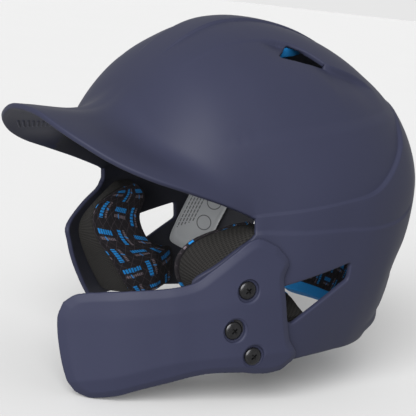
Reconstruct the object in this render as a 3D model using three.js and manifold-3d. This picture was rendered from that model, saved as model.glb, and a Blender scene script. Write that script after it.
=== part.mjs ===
// A batting helmet with a clamped-on jaw guard, in millimetres.
// Every piece is drawn in the mould frame: +Z up, the brim towards -Y, the wearer's left at +X,
// and the origin at the middle of the widest ring. One group then turns the whole helmet into
// the frame in which it is worn, whose origin is the middle of the wearer's head.
import * as THREE from "three";
import { mergeVertices } from "three/addons/utils/BufferGeometryUtils.js";
import Module from "manifold-3d";

const wasm = await Module();
wasm.setup();

// Driving dimensions of the dome.
const HALF_WIDTH = 103;
const FRONT_LENGTH = 107;
const BACK_LENGTH = 141;
const CROWN_HEIGHT = 116.8;
const PLAN_POWER = 2.5; // how square the dome is seen from above
const PROFILE_POWER = 1.83; // how full the dome is seen from the side
const TEMPLE_TUCK = 8; // how far the sides pull in at the temples
const TEMPLE_AT = -38;
const TEMPLE_REACH = 23;
const TEMPLE_HEIGHT = 45;
const SKIRT_DEPTH = 260; // how fast the sides turn in below the widest ring
const SKIRT_SIDE = 0.5;
const SKIRT_BACK = 1.5;
const WALL = 3.6; // thickness of the moulded shell
const BELT = 2; // height of the ring where the dome ends and the ear flaps begin

// The worn frame: the dome is pitched about X, and the head's middle sits here in the mould frame.
const WEARING_PITCH = THREE.MathUtils.degToRad(8);
const HEAD_MIDDLE = new THREE.Vector3(0, 17, 20);

// The free edge of the brim, from the middle of the peak round to the temple.
const BRIM_EDGE = [
  [0, -148, 71],
  [18, -147.5, 69.5],
  [36, -144, 63],
  [52, -137, 55],
  [67, -124.6, 44.5],
  [80, -106.9, 34.2],
  [88, -85, 24.5],
  [91.5, -60, 13],
];
const TEMPLE_ANGLE = 68.5; // plan angle where the brim meets the ear flap
const PEAK_PITCH = 8; // how far the peak points up, in degrees
const PEAK_FILLET = 6; // height over the edge where the peak leaves the dome
const SIDE_FILLET = 28;
const FILLET_GROWTH = 1.2;
const FILLET_REACH = 0.42;

// The front edge of an ear flap as [plan angle, height], from the temple down, row by row.
const FLAP_EDGE = [
  [68.5, 2],
  [67.6, -9],
  [60.5, -17.5],
  [53.2, -26],
  [45.6, -34.7],
  [46.4, -44.5],
  [47.6, -54.4],
  [49.5, -64],
  [51.7, -73],
  [54, -82],
  [57.2, -93],
];
// The lower rim as [plan angle, height], from the flap's front corner to the back.
const LOWER_RIM = [
  [57.2, -93],
  [87, -94.6],
  [106, -97.4],
  [127, -100.4],
  [140, -101],
  [180, -106],
];

// Openings in the shell.
const EAR_VENT = [
  [30.5, -35.5],
  [29.8, -47],
  [-16, -68.5],
  [-27, -60],
  [-24, -43],
];
const SCOOP_VENT = [
  [44.5, 23],
  [53.5, 10],
  [57.5, 28],
  [58, 46],
  [51, 37],
];
const BACK_VENT = [
  [54, -49],
  [74, -52],
  [73, -63],
  [54, -61],
];

// The jaw guard: the plan curve of its outer face as [y, x], and its outline as [y, height].
const GUARD_PLAN = [
  [-160, 35],
  [-144, 50],
  [-124.5, 70],
  [-98.6, 85],
  [-83, 91],
  [-62, 98.8],
  [-45, 102.6],
  [-22, 105.4],
  [0, 106],
];
const GUARD_TOP = [
  [-150.5, -44.5],
  [-144, -39],
  [-124.5, -36],
  [-98.6, -35],
  [-83, -32.5],
  [-72.5, -25.5],
  [-58, -15.5],
  [-43.5, -8.4],
  [-29.6, -14.6],
];
const GUARD_REAR = [
  [-29.6, -14.6],
  [-21.2, -25.7],
  [-25, -35.2],
  [-23.6, -50.2],
  [-19.5, -78],
  [-13.3, -90.4],
  [-23.2, -98.6],
];
const GUARD_BOTTOM = [
  [-145.5, -103],
  [-138.5, -107],
  [-110, -99.5],
  [-77, -93.3],
  [-54.2, -94.8],
  [-34.7, -98.9],
  [-23.2, -98.6],
];
const GUARD_FRONT = [
  [-150.5, -44.5],
  [-153, -54],
  [-152, -76],
  [-149, -94.5],
  [-145.5, -103],
];
const GUARD_WALL = 4.4;
const GUARD_TUCK = 0.045; // how far the guard leans in, per millimetre below its middle
const GUARD_MIDDLE = -50;

// The three screws that clamp the guard on, as [name, y, height] on its outer face.
const SCREWS = [
  ["upper", -51.4, -40],
  ["middle", -60, -65],
  ["lower", -46.5, -84],
];
const SCREW_LEAN = -0.18; // how far the screws point forwards, per millimetre outwards
const WELL_RADIUS = 7.4;
const WELL_DEPTH = 2.9;
const HEAD_RADIUS = 5.8;
const HEAD_HEIGHT = 2.5;
const SHANK_RADIUS = 2.4;
const GUARD_HOLE_RADIUS = 2.8;
const SPACER_RADIUS = 8;
const NUT_BARREL_RADIUS = 4;
const NUT_FLANGE_RADIUS = 7.5;
const NUT_FLANGE = 1.4;
const NUT_BORE_RADIUS = 2.75;
const SHELL_HOLE_RADIUS = 4.4;
const FIT = 0.4; // clearance between pieces that touch

// Padding.
const TAB_AT = 4.3; // depth of the hook-and-loop tabs under the outer face
const TAB = 0.8;
const TAB_HALF_ANGLE = 7;
const TAB_HALF_HEIGHT = 8;
const FOAM_AT = WALL + 2.2; // depth of a foam layer's back under the outer face
const FOAM = 8;
const NAPE_FOAM = 13;
const LAYER_GAP = 1;
const PAD = 7;
const EAR_PAD_AT = WALL + 6.6; // the ear pads stand clear of the tee nuts
const LINER = 4;
const CROWN_FLAT = 78; // height of the crown pad's flat face
const CROWN_RADIUS = 46;
const CROWN_GAP = 1; // room over the middle of the crown pad
const CROWN_EDGE_DROP = 2; // further room over its edge
const CROWN_REACH = 0.36; // share of the way down the dome that the crown foam reaches
const CROWN_RINGS = 5;
const CROWN_SPOKES = 24;

const degrees = THREE.MathUtils.degToRad;
const smooth = (low, high, value) => THREE.MathUtils.smoothstep(value, low, high);

const MATERIALS = {
  shell: new THREE.MeshStandardMaterial({ color: 0x3f4055, roughness: 0.55, metalness: 0 }),
  screw: new THREE.MeshStandardMaterial({ color: 0x17181b, roughness: 0.35, metalness: 0.8 }),
  rubber: new THREE.MeshStandardMaterial({ color: 0x1b1b1d, roughness: 0.9, metalness: 0 }),
  steel: new THREE.MeshStandardMaterial({ color: 0x9a9ca0, roughness: 0.35, metalness: 1 }),
  foam: new THREE.MeshStandardMaterial({ color: 0x1c86c8, roughness: 0.9, metalness: 0 }),
  fabric: new THREE.MeshStandardMaterial({ color: 0x232127, roughness: 0.95, metalness: 0 }),
  mesh: new THREE.MeshStandardMaterial({ color: 0x3f3d39, roughness: 0.95, metalness: 0 }),
  hook: new THREE.MeshStandardMaterial({ color: 0x141416, roughness: 0.95, metalness: 0 }),
  label: new THREE.MeshStandardMaterial({ color: 0xd5d7db, roughness: 0.4, metalness: 0 }),
};

const helmet = new THREE.Group();
helmet.rotation.x = WEARING_PITCH;
helmet.position.copy(HEAD_MIDDLE).applyEuler(helmet.rotation).negate();

function add(name, geometry, material) {
  const mesh = new THREE.Mesh(geometry, material);
  mesh.name = name;
  helmet.add(mesh);
}

// ---- Small helpers -------------------------------------------------------------------------

// Straight-line interpolation in a table of [key, value] rows whose keys rise.
function lookUp(table, key) {
  let i = 1;
  while (i < table.length - 1 && table[i][0] < key) i += 1;
  const [k0, v0] = table[i - 1];
  const [k1, v1] = table[i];
  return v0 + ((v1 - v0) * (key - k0)) / (k1 - k0);
}

// The point a fraction of the way along an open polyline of [a, b] points.
function along(line, fraction) {
  const steps = [0];
  for (let i = 1; i < line.length; i += 1) {
    steps.push(steps[i - 1] + Math.hypot(line[i][0] - line[i - 1][0], line[i][1] - line[i - 1][1]));
  }
  const target = fraction * steps[steps.length - 1];
  let i = 1;
  while (i < line.length - 1 && steps[i] < target) i += 1;
  const part = (target - steps[i - 1]) / (steps[i] - steps[i - 1]);
  return [0, 1].map((axis) => line[i - 1][axis] + (line[i][axis] - line[i - 1][axis]) * part);
}

// A closed body between an outer skin and an inner skin that share the same faces.
function bodyBetween(outer, inner, faces) {
  const count = outer.length;
  const index = [];
  const used = new Map();
  const put = (face) => {
    for (let i = 2; i < face.length; i += 1) index.push(face[0], face[i - 1], face[i]);
  };
  for (const face of faces) {
    put(face);
    put(face.map((vertex) => vertex + count).reverse());
    face.forEach((vertex, i) => used.set(`${vertex},${face[(i + 1) % face.length]}`, true));
  }
  for (const edge of used.keys()) {
    const [a, b] = edge.split(",").map(Number);
    if (!used.has(`${b},${a}`)) put([b, a, a + count, b + count]);
  }
  const geometry = new THREE.BufferGeometry().setFromPoints([...outer, ...inner]);
  geometry.setIndex(index);
  return geometry;
}

// Each skin point moved inwards, against the mean normal of the faces round it.
function inset(points, faces, depth) {
  const normals = points.map(() => new THREE.Vector3());
  for (const face of faces) {
    const [a, b, c] = [points[face[0]], points[face[1]], points[face[2]]];
    const d = points[face[face.length - 1]];
    const across = new THREE.Vector3().subVectors(c, a);
    const down = new THREE.Vector3().subVectors(b, d);
    const normal = down.cross(across);
    for (const vertex of face) normals[vertex].add(normal);
  }
  return points.map((point, i) => point.clone().addScaledVector(normals[i].normalize(), -depth));
}

// The faces of a sheet of rows by columns, laid out row after row.
function sheetFaces(rows, columns) {
  const faces = [];
  for (let row = 0; row < rows; row += 1) {
    for (let column = 0; column < columns; column += 1) {
      const a = row * (columns + 1) + column;
      faces.push([a, a + columns + 1, a + columns + 2, a + 1]);
    }
  }
  return faces;
}

// A slab whose outer face is pointAt(across, down), with both running from 0 to 1.
function slab(rows, columns, pointAt, thickness) {
  const points = [];
  for (let row = 0; row <= rows; row += 1) {
    for (let column = 0; column <= columns; column += 1) {
      points.push(pointAt(column / columns, row / rows));
    }
  }
  const faces = sheetFaces(rows, columns);
  return bodyBetween(points, inset(points, faces, thickness), faces);
}

function toSolid(geometry) {
  const plain = geometry.clone();
  plain.deleteAttribute("normal");
  plain.deleteAttribute("uv");
  const merged = mergeVertices(plain, 1e-4);
  return new wasm.Manifold(
    new wasm.Mesh({
      numProp: 3,
      vertProperties: new Float32Array(merged.attributes.position.array),
      triVerts: new Uint32Array(merged.index.array),
    }),
  );
}

function toGeometry(solid) {
  const mesh = solid.getMesh();
  const geometry = new THREE.BufferGeometry();
  geometry.setAttribute("position", new THREE.BufferAttribute(mesh.vertProperties, 3));
  geometry.setIndex(new THREE.BufferAttribute(mesh.triVerts, 1));
  return geometry;
}

function subtractAll(geometry, cutters) {
  return toGeometry(cutters.reduce((solid, cutter) => solid.subtract(toSolid(cutter)), toSolid(geometry)));
}

// ---- The dome's outer face -----------------------------------------------------------------

// Plan radius of the widest ring at a plan angle, which is 0 at the brim and 90 at the left ear.
function planRadius(angle) {
  const sine = Math.abs(Math.sin(degrees(angle)));
  const cosine = Math.cos(degrees(angle));
  const length = cosine > 0 ? FRONT_LENGTH : BACK_LENGTH;
  const sum = (sine / HALF_WIDTH) ** PLAN_POWER + (Math.abs(cosine) / length) ** PLAN_POWER;
  return sum ** (-1 / PLAN_POWER);
}

// The outer face at a plan angle and a height.
function domePoint(angle, height) {
  let scale = 1;
  if (height > 0) {
    scale = Math.max(0, 1 - (height / CROWN_HEIGHT) ** PROFILE_POWER) ** (1 / PROFILE_POWER);
  } else {
    const turn = SKIRT_SIDE + (SKIRT_BACK - SKIRT_SIDE) * smooth(65, 150, Math.abs(angle));
    scale = 1 - turn * (height / SKIRT_DEPTH) ** 2;
  }
  const radius = planRadius(angle) * scale;
  const x = radius * Math.sin(degrees(angle));
  const y = -radius * Math.cos(degrees(angle));
  const level = Math.exp(-((height / TEMPLE_HEIGHT) ** 2));
  const near = Math.exp(-(((y - TEMPLE_AT) / TEMPLE_REACH) ** 2) / 2);
  const side = smooth(0.4, 0.9, Math.abs(x) / HALF_WIDTH);
  return new THREE.Vector3(x - Math.sign(x) * TEMPLE_TUCK * level * near * side, y, height);
}

// The outer face at a plan angle and a share of the way from the crown (0) to the widest ring (1).
function crownPoint(angle, share) {
  const [sine, cosine] = [Math.sin(degrees(share * 90)), Math.cos(degrees(share * 90))];
  const size = (sine ** PROFILE_POWER + Math.max(cosine, 0) ** PROFILE_POWER) ** (-1 / PROFILE_POWER);
  return domePoint(angle, CROWN_HEIGHT * size * cosine);
}

// The point at a depth under the outer face.
function underFace(angle, height, depth) {
  const step = 0.5;
  const low = Math.min(height, CROWN_HEIGHT - 2);
  const middle = domePoint(angle, low);
  const round = domePoint(angle + step, low).sub(domePoint(angle - step, low));
  const up = domePoint(angle, low + step).sub(domePoint(angle, low - step));
  return middle.addScaledVector(round.cross(up).normalize(), -depth);
}

// ---- Shell ---------------------------------------------------------------------------------

const BRIM_COLUMNS = 14;
const BACK_COLUMNS = 17;
const DOME_ROWS = 9;
const FLARE_ROWS = 5;

const temple = domePoint(TEMPLE_ANGLE, BELT);
const brimCurve = new THREE.CatmullRomCurve3(
  [
    ...BRIM_EDGE.slice(1, 3).map(([x, y, z]) => new THREE.Vector3(-x, y, z)).reverse(),
    ...BRIM_EDGE.map((point) => new THREE.Vector3(...point)),
    temple,
  ],
  false,
  "centripetal",
);

// The brim's edge for a share from the middle of the peak (0) to the temple (1).
function brimPoint(share) {
  const spans = BRIM_EDGE.length + 2;
  return brimCurve.getPoint((2 + share * BRIM_EDGE.length) / spans);
}

// One column of the upper shell: from the dome down a fillet to its free edge or to the belt.
function flareColumn(edge, angle, size) {
  const share = Math.min(angle / TEMPLE_ANGLE, 1);
  const fillet = PEAK_FILLET + (SIDE_FILLET - PEAK_FILLET) * share ** FILLET_GROWTH;
  const start = domePoint(angle, edge.z + fillet);
  const startAim = domePoint(angle, edge.z + fillet - 0.5).sub(start).normalize();
  const pitch = degrees(PEAK_PITCH - (90 + PEAK_PITCH) * share ** 1.6);
  const outwards = new THREE.Vector3(Math.sin(degrees(angle)), -Math.cos(degrees(angle)), 0);
  const endAim = outwards.multiplyScalar(Math.cos(pitch)).setZ(Math.sin(pitch));
  const reach = start.distanceTo(edge) * FILLET_REACH;
  const curve = new THREE.CubicBezierCurve3(
    start,
    start.clone().addScaledVector(startAim, reach),
    edge.clone().addScaledVector(endAim, -reach),
    edge,
  );
  const column = [];
  const startShare = shareAtHeight(edge.z + fillet);
  for (let row = 1; row <= DOME_ROWS; row += 1) {
    column.push(crownPoint(angle, (startShare * row) / DOME_ROWS));
  }
  for (let row = 1; row <= FLARE_ROWS; row += 1) column.push(curve.getPoint(row / FLARE_ROWS));
  return size < 0 ? column.map((point) => new THREE.Vector3(-point.x, point.y, point.z)) : column;
}

// The share of the way down from the crown at which the dome has a height.
function shareAtHeight(height) {
  let [low, high] = [0, 1];
  for (let i = 0; i < 30; i += 1) {
    const middle = (low + high) / 2;
    if (crownPoint(180, middle).z > height) low = middle;
    else high = middle;
  }
  return (low + high) / 2;
}

// One column below the belt. A column keeps its share of the way from the flap's edge to the back.
function flapColumn(angle, size) {
  const share = (angle - TEMPLE_ANGLE) / (180 - TEMPLE_ANGLE);
  const depth = FLAP_EDGE[FLAP_EDGE.length - 1][1] - BELT;
  const column = FLAP_EDGE.slice(1).map(([edgeAngle, edgeHeight]) => {
    const here = edgeAngle + (180 - edgeAngle) * share;
    const down = (edgeHeight - BELT) / depth;
    return domePoint(here, BELT + (lookUp(LOWER_RIM, here) - BELT) * down);
  });
  return size < 0 ? column.map((point) => new THREE.Vector3(-point.x, point.y, point.z)) : column;
}

function shellSkin() {
  const columns = [];
  for (let i = 0; i <= BRIM_COLUMNS; i += 1) {
    const edge = brimPoint(i / BRIM_COLUMNS);
    const angle = i === 0 ? 0 : THREE.MathUtils.radToDeg(Math.atan2(edge.x, -edge.y));
    columns.push({ edge, angle, low: i === BRIM_COLUMNS });
  }
  for (let i = 1; i <= BACK_COLUMNS; i += 1) {
    const angle = TEMPLE_ANGLE + ((180 - TEMPLE_ANGLE) * i) / BACK_COLUMNS;
    columns.push({ edge: domePoint(angle, BELT), angle, low: true });
  }
  const mirrored = columns.slice(1, -1).reverse();
  const ring = [
    ...columns.map((column) => ({ ...column, size: 1 })),
    ...mirrored.map((column) => ({ ...column, size: -1 })),
  ];
  const points = [new THREE.Vector3(0, 0, CROWN_HEIGHT)];
  const starts = ring.map(({ edge, angle, low, size }) => {
    const start = points.length;
    points.push(...flareColumn(edge, angle, size));
    if (low) points.push(...flapColumn(Math.max(angle, TEMPLE_ANGLE), size));
    return { start, length: points.length - start };
  });
  const faces = [];
  starts.forEach((left, i) => {
    const right = starts[(i + 1) % starts.length];
    faces.push([0, left.start, right.start]);
    for (let row = 1; row < Math.min(left.length, right.length); row += 1) {
      const [a, b] = [left.start + row, right.start + row];
      faces.push([a - 1, a, b, b - 1]);
    }
  });
  return { points, faces };
}

// A prism cut from an outline of [a, b] points, extruded by a depth along local Z.
function prism(outline, depth) {
  const shape = new THREE.Shape(outline.map(([a, b]) => new THREE.Vector2(a, b)));
  return new THREE.ExtrudeGeometry(shape, { depth, bevelEnabled: false });
}

// A prism that crosses the side of the helmet, from an outline of [y, height] points.
function sidePrism(outline, from, to) {
  const geometry = prism(outline, to - from);
  geometry.applyMatrix4(new THREE.Matrix4().makeBasis(
    new THREE.Vector3(0, 1, 0),
    new THREE.Vector3(0, 0, 1),
    new THREE.Vector3(1, 0, 0),
  ));
  return geometry.translate(from, 0, 0);
}

function screwAxis() {
  return new THREE.Vector3(1, SCREW_LEAN, 0).normalize();
}

// A body turned about the screw's axis, from a profile of [radius, distance outwards] points.
function turnedOnScrew(profile, origin, sides) {
  const geometry = new THREE.LatheGeometry(profile.map(([r, a]) => new THREE.Vector2(r, a)), sides);
  const turn = new THREE.Quaternion().setFromUnitVectors(new THREE.Vector3(0, 1, 0), screwAxis());
  return geometry.applyQuaternion(turn).translate(origin.x, origin.y, origin.z);
}

const rod = (radius, from, to) => [
  [0, from],
  [radius, from],
  [radius, to],
  [0, to],
];

const screwHeads = SCREWS.map(([name, y, height]) => ({ name, origin: guardPoint(y, height) }));

function makeShell() {
  const { points, faces } = shellSkin();
  const body = bodyBetween(points, inset(points, faces, WALL), faces);
  const cutters = [];
  for (const side of [1, -1]) {
    const ear = sidePrism(EAR_VENT, 60, 130);
    const scoop = prism(SCOOP_VENT, 60).translate(0, 0, 70);
    const back = prism(BACK_VENT, 80).rotateX(Math.PI / 2).translate(0, 160, 0);
    for (const cutter of [ear, scoop, back]) {
      cutters.push(side > 0 ? cutter : toGeometry(toSolid(cutter).mirror([1, 0, 0])));
    }
  }
  for (const { origin } of screwHeads) {
    cutters.push(turnedOnScrew(rod(SHELL_HOLE_RADIUS, -40, 5), origin, 20));
  }
  add("shell", subtractAll(body, cutters), MATERIALS.shell);
}

// ---- Jaw guard -----------------------------------------------------------------------------

// The guard's outer face at a y and a height.
function guardPoint(y, height) {
  const lean = Math.max(0, GUARD_MIDDLE - height) * GUARD_TUCK;
  return new THREE.Vector3(lookUp(GUARD_PLAN, y) - lean, y, height);
}

// A point inside the guard's outline: the four sides blended, each by how near it is.
function guardPatch(across, down) {
  const top = along(GUARD_TOP, across);
  const bottom = along(GUARD_BOTTOM, across);
  const front = along(GUARD_FRONT, down);
  const rear = along(GUARD_REAR, down);
  const corner = (u, v) => (v === 0 ? along(GUARD_TOP, u) : along(GUARD_BOTTOM, u));
  const blend = (axis) =>
    (1 - down) * top[axis] +
    down * bottom[axis] +
    (1 - across) * front[axis] +
    across * rear[axis] -
    (1 - across) * ((1 - down) * corner(0, 0)[axis] + down * corner(0, 1)[axis]) -
    across * ((1 - down) * corner(1, 0)[axis] + down * corner(1, 1)[axis]);
  return guardPoint(blend(0), blend(1));
}

function makeGuard() {
  const body = slab(10, 24, (across, down) => guardPatch(across, down), GUARD_WALL);
  const cutters = [];
  for (const { origin } of screwHeads) {
    cutters.push(turnedOnScrew(rod(WELL_RADIUS, -WELL_DEPTH, 6), origin, 24));
    cutters.push(turnedOnScrew(rod(GUARD_HOLE_RADIUS, -20, 6), origin, 24));
  }
  add("jaw_guard", subtractAll(body, cutters), MATERIALS.shell);
}

// How far along a line from the screw's origin a test first becomes true.
function reachTo(start, direction, test) {
  let distance = 0;
  while (distance > -60 && !test(start.clone().addScaledVector(direction, distance))) distance -= 0.05;
  return distance;
}

function insideDome(point) {
  const angle = THREE.MathUtils.radToDeg(Math.atan2(point.x, -point.y));
  const face = domePoint(angle, point.z);
  return Math.hypot(point.x, point.y) < Math.hypot(face.x, face.y);
}

function insideGuard(point) {
  return point.x < guardPoint(point.y, point.z).x - GUARD_WALL * 1.03;
}

// A rubber spacer: a short tube whose two ends follow the guard's back and the shell's face.
function makeSpacer(name, origin) {
  const axis = screwAxis();
  const sideways = new THREE.Vector3(-axis.y, axis.x, 0);
  const upwards = new THREE.Vector3(0, 0, 1);
  const sides = 24;
  const ring = (radius, test, gap) =>
    Array.from({ length: sides }, (_, i) => {
      const turn = (i / sides) * Math.PI * 2;
      const start = origin.clone().addScaledVector(sideways, radius * Math.cos(turn));
      start.addScaledVector(upwards, radius * Math.sin(turn));
      return start.addScaledVector(axis, reachTo(start, axis, test) + gap);
    });
  const outer = [
    ...ring(SPACER_RADIUS, insideGuard, -FIT),
    ...ring(SHANK_RADIUS + FIT, insideGuard, -FIT),
  ];
  const inner = [
    ...ring(SPACER_RADIUS, insideDome, FIT),
    ...ring(SHANK_RADIUS + FIT, insideDome, FIT),
  ];
  const faces = [];
  for (let i = 0; i < sides; i += 1) {
    const next = (i + 1) % sides;
    faces.push([i, next, next + sides, i + sides]);
  }
  add(`spacer_${name}`, bodyBetween(outer, inner, faces), MATERIALS.rubber);
}

function makeScrew(name, origin, innerFace) {
  const seat = -WELL_DEPTH + FIT;
  const end = innerFace - NUT_FLANGE - FIT;
  const profile = [
    [0, end],
    [SHANK_RADIUS, end],
    [SHANK_RADIUS, seat],
    [HEAD_RADIUS, seat],
    [HEAD_RADIUS, seat + HEAD_HEIGHT * 0.35],
    [HEAD_RADIUS * 0.8, seat + HEAD_HEIGHT * 0.8],
    [HEAD_RADIUS * 0.45, seat + HEAD_HEIGHT],
    [0, seat + HEAD_HEIGHT],
  ];
  add(`jaw_screw_${name}`, turnedOnScrew(profile, origin, 20), MATERIALS.screw);
}

// A tee nut: its flange bears on the inside of the ear flap and its barrel stands in the hole.
function makeNut(name, origin, innerFace, outerFace) {
  const profile = [
    [NUT_BORE_RADIUS, innerFace - NUT_FLANGE],
    [NUT_FLANGE_RADIUS, innerFace - NUT_FLANGE],
    [NUT_FLANGE_RADIUS, innerFace],
    [NUT_BARREL_RADIUS, innerFace],
    [NUT_BARREL_RADIUS, outerFace],
    [NUT_BORE_RADIUS, outerFace],
    [NUT_BORE_RADIUS, innerFace - NUT_FLANGE],
  ];
  add(`tee_nut_${name}`, turnedOnScrew(profile, origin, 20), MATERIALS.steel);
}

const SEAT_SAMPLES = 12; // points at which the wall under a nut's flange is measured

function makeFasteners() {
  for (const { name, origin } of screwHeads) {
    const axis = screwAxis();
    let shallow = 0;
    let deep = -60;
    for (let i = 0; i < SEAT_SAMPLES; i += 1) {
      const turn = (i / SEAT_SAMPLES) * Math.PI * 2;
      const start = origin.clone();
      start.x += -axis.y * NUT_FLANGE_RADIUS * Math.cos(turn);
      start.y += axis.x * NUT_FLANGE_RADIUS * Math.cos(turn);
      start.z += NUT_FLANGE_RADIUS * Math.sin(turn);
      const face = reachTo(start, axis, insideDome);
      shallow = Math.min(shallow, face);
      deep = Math.max(deep, face);
    }
    const innerFace = shallow - WALL * 1.1 - FIT;
    makeSpacer(name, origin);
    makeScrew(name, origin, innerFace);
    makeNut(name, origin, innerFace, shallow - FIT);
  }
}

// ---- Padding -------------------------------------------------------------------------------

// A block of padding between two plan angles and two heights, at a depth under the outer face.
function lining(name, material, from, to, low, high, depth, thickness) {
  const columns = Math.max(3, Math.round(Math.abs(to - from) / 9));
  const rows = Math.max(3, Math.round((high - low) / 12));
  const pointAt = (across, down) =>
    underFace(from + (to - from) * across, high + (low - high) * down, depth);
  add(name, slab(rows, columns, pointAt, thickness), material);
}

// A layered pad: a hook-and-loop tab, a blue foam layer, and a fabric-faced comfort layer.
function layeredPad(name, from, to, low, high, foam = FOAM, foamLow = low) {
  const middle = (from + to) / 2;
  const tall = (low + high) / 2;
  const padAt = FOAM_AT + foam + LAYER_GAP;
  const [left, right] = [middle - TAB_HALF_ANGLE, middle + TAB_HALF_ANGLE];
  const [bottom, top] = [tall - TAB_HALF_HEIGHT, tall + TAB_HALF_HEIGHT];
  lining(`${name}_tab`, MATERIALS.hook, left, right, bottom, top, TAB_AT, TAB);
  lining(`${name}_foam`, MATERIALS.foam, from + 1, to - 1, foamLow, high - 1, FOAM_AT, foam);
  lining(`${name}_pad`, MATERIALS.fabric, from, to, low + 1, high, padAt, PAD);
}

// The point of the left side at a y, a height and a depth under the outer face.
function sidePoint(y, height, depth) {
  let angle = 90;
  for (let i = 0; i < 40; i += 1) {
    angle += THREE.MathUtils.radToDeg((y - underFace(angle, height, depth).y) / 120);
  }
  return underFace(angle, height, depth);
}

// The outlines of an ear pad as [y, height]: where it meets the flap, and where it meets the cheek.
const EAR_BACK_FRONT = [
  [-31, -7],
  [-49, -18],
  [-68, -34],
  [-63, -56],
  [-47, -86],
];
const EAR_BACK_REAR = [
  [-17, -8],
  [-28, -30],
  [-29, -64],
  [6, -72],
  [8, -88],
];
const EAR_FACE_FRONT = [
  [-38, -8],
  [-57, -13],
  [-66, -18],
  [-71, -28],
  [-68, -41],
  [-61, -52],
  [-51, -70],
  [-44, -78],
];
const EAR_FACE_REAR = [
  [-24, -7],
  [-19, -16],
  [-29, -30],
  [-25, -46],
  [-15, -52],
  [-2, -57],
  [6, -60],
  [8, -80],
];

// The cheek face: how far out it stands at the origin, and how fast it moves out towards the back,
// upwards, upwards below its bend, and behind the ear.
const CHEEK_AT = 71.7;
const CHEEK_TOE = 0.175;
const CHEEK_SLOPE = 0.39;
const CHEEK_LOW_SLOPE = 0.15;
const CHEEK_BEND = -48;
const CHEEK_BACK = -20;
const CHEEK_BACK_FLARE = 0.5;

// How far from the middle the cheek face of an ear pad stands.
function cheekFace(y, height) {
  const under = Math.min(0, height - CHEEK_BEND);
  const level = Math.max(height, CHEEK_BEND) + CHEEK_LOW_SLOPE * under;
  const behind = Math.max(0, y - CHEEK_BACK);
  return CHEEK_AT + CHEEK_TOE * y + CHEEK_SLOPE * level + CHEEK_BACK_FLARE * behind;
}

// The point at a share across and a share down between a front and a rear outline.
function between(front, rear, across, down) {
  const a = along(front, down);
  const b = along(rear, down);
  return [a[0] + (b[0] - a[0]) * across, a[1] + (b[1] - a[1]) * across];
}

// A block between two sheets on the left side, each sheetAt(across, down), mirrored for the right.
function sideBlock(name, material, side, rows, columns, outerAt, innerAt) {
  const outer = [];
  const inner = [];
  for (let row = 0; row <= rows; row += 1) {
    for (let column = 0; column <= columns; column += 1) {
      const across = side > 0 ? column / columns : 1 - column / columns;
      outer.push(outerAt(across, row / rows));
      inner.push(innerAt(across, row / rows));
    }
  }
  for (const point of [...outer, ...inner]) point.x *= side;
  add(name, bodyBetween(outer, inner, sheetFaces(rows, columns)), material);
}

function makeEarPads() {
  for (const [side, word] of [[1, "left"], [-1, "right"]]) {
    const face = (depth) => (across, down) => {
      const [y, height] = between(EAR_FACE_FRONT, EAR_FACE_REAR, across, down);
      return new THREE.Vector3(cheekFace(y, height) + depth, y, height);
    };
    const back = (across, down) => {
      const [y, height] = between(EAR_BACK_FRONT, EAR_BACK_REAR, across, down);
      return sidePoint(y, height, EAR_PAD_AT);
    };
    sideBlock(`ear_${word}_pad`, MATERIALS.mesh, side, 12, 6, back, face(LINER + 2 * LAYER_GAP));
    sideBlock(`ear_${word}_liner`, MATERIALS.fabric, side, 12, 6, face(LINER), face(0));
  }
}

// The care label: a tilted rectangle on the inside of the right wall, behind the ear vent.
const LABEL_CORNER = [19, -63];
const LABEL_LONG = [35, 51];
const LABEL_WIDE = [26, -18];
const LABEL = 0.4;

function makeLabel() {
  const sheet = (depth) => (across, down) => {
    const up = 1 - down;
    const y = LABEL_CORNER[0] + LABEL_LONG[0] * up + LABEL_WIDE[0] * across;
    const height = LABEL_CORNER[1] + LABEL_LONG[1] * up + LABEL_WIDE[1] * across;
    return sidePoint(y, height, depth);
  };
  sideBlock("care_label", MATERIALS.label, -1, 6, 4, sheet(WALL + 0.8), sheet(WALL + 0.8 + LABEL));
}

// The points of a disc, from its middle outwards: pointAt(angle, share of the way to its edge).
function discPoints(pointAt) {
  const points = [pointAt(0, 0)];
  for (let ring = 1; ring <= CROWN_RINGS; ring += 1) {
    for (let spoke = 0; spoke < CROWN_SPOKES; spoke += 1) {
      points.push(pointAt((spoke / CROWN_SPOKES) * 360, ring / CROWN_RINGS));
    }
  }
  return points;
}

// The faces that join the points of a disc.
function discFaces() {
  const faces = [];
  for (let spoke = 0; spoke < CROWN_SPOKES; spoke += 1) {
    const next = (spoke + 1) % CROWN_SPOKES;
    faces.push([0, 1 + spoke, 1 + next]);
    for (let ring = 1; ring < CROWN_RINGS; ring += 1) {
      const a = 1 + (ring - 1) * CROWN_SPOKES;
      const b = a + CROWN_SPOKES;
      faces.push([a + spoke, b + spoke, b + next, a + next]);
    }
  }
  return faces;
}

// Height of the outer face over a point of the crown.
function crownHeight(x, y) {
  const length = y < 0 ? FRONT_LENGTH : BACK_LENGTH;
  const spread = (Math.abs(x) / HALF_WIDTH) ** PLAN_POWER + (Math.abs(y) / length) ** PLAN_POWER;
  return CROWN_HEIGHT * (1 - spread ** (PROFILE_POWER / PLAN_POWER)) ** (1 / PROFILE_POWER);
}

// The crown pad: domed on top to follow its foam, and flat underneath where it meets the head.
function makeCrownPad() {
  const flat = (angle, share) =>
    new THREE.Vector3(
      CROWN_RADIUS * share * Math.sin(degrees(angle)),
      -CROWN_RADIUS * share * Math.cos(degrees(angle)),
      CROWN_FLAT,
    );
  const domed = (angle, share) => {
    const point = flat(angle, share);
    const gap = LAYER_GAP + CROWN_GAP + CROWN_EDGE_DROP * share;
    return point.setZ(crownHeight(point.x, point.y) - FOAM_AT - FOAM - gap);
  };
  const body = bodyBetween(discPoints(domed), discPoints(flat), discFaces());
  add("crown_pad", body, MATERIALS.fabric);
}

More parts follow.
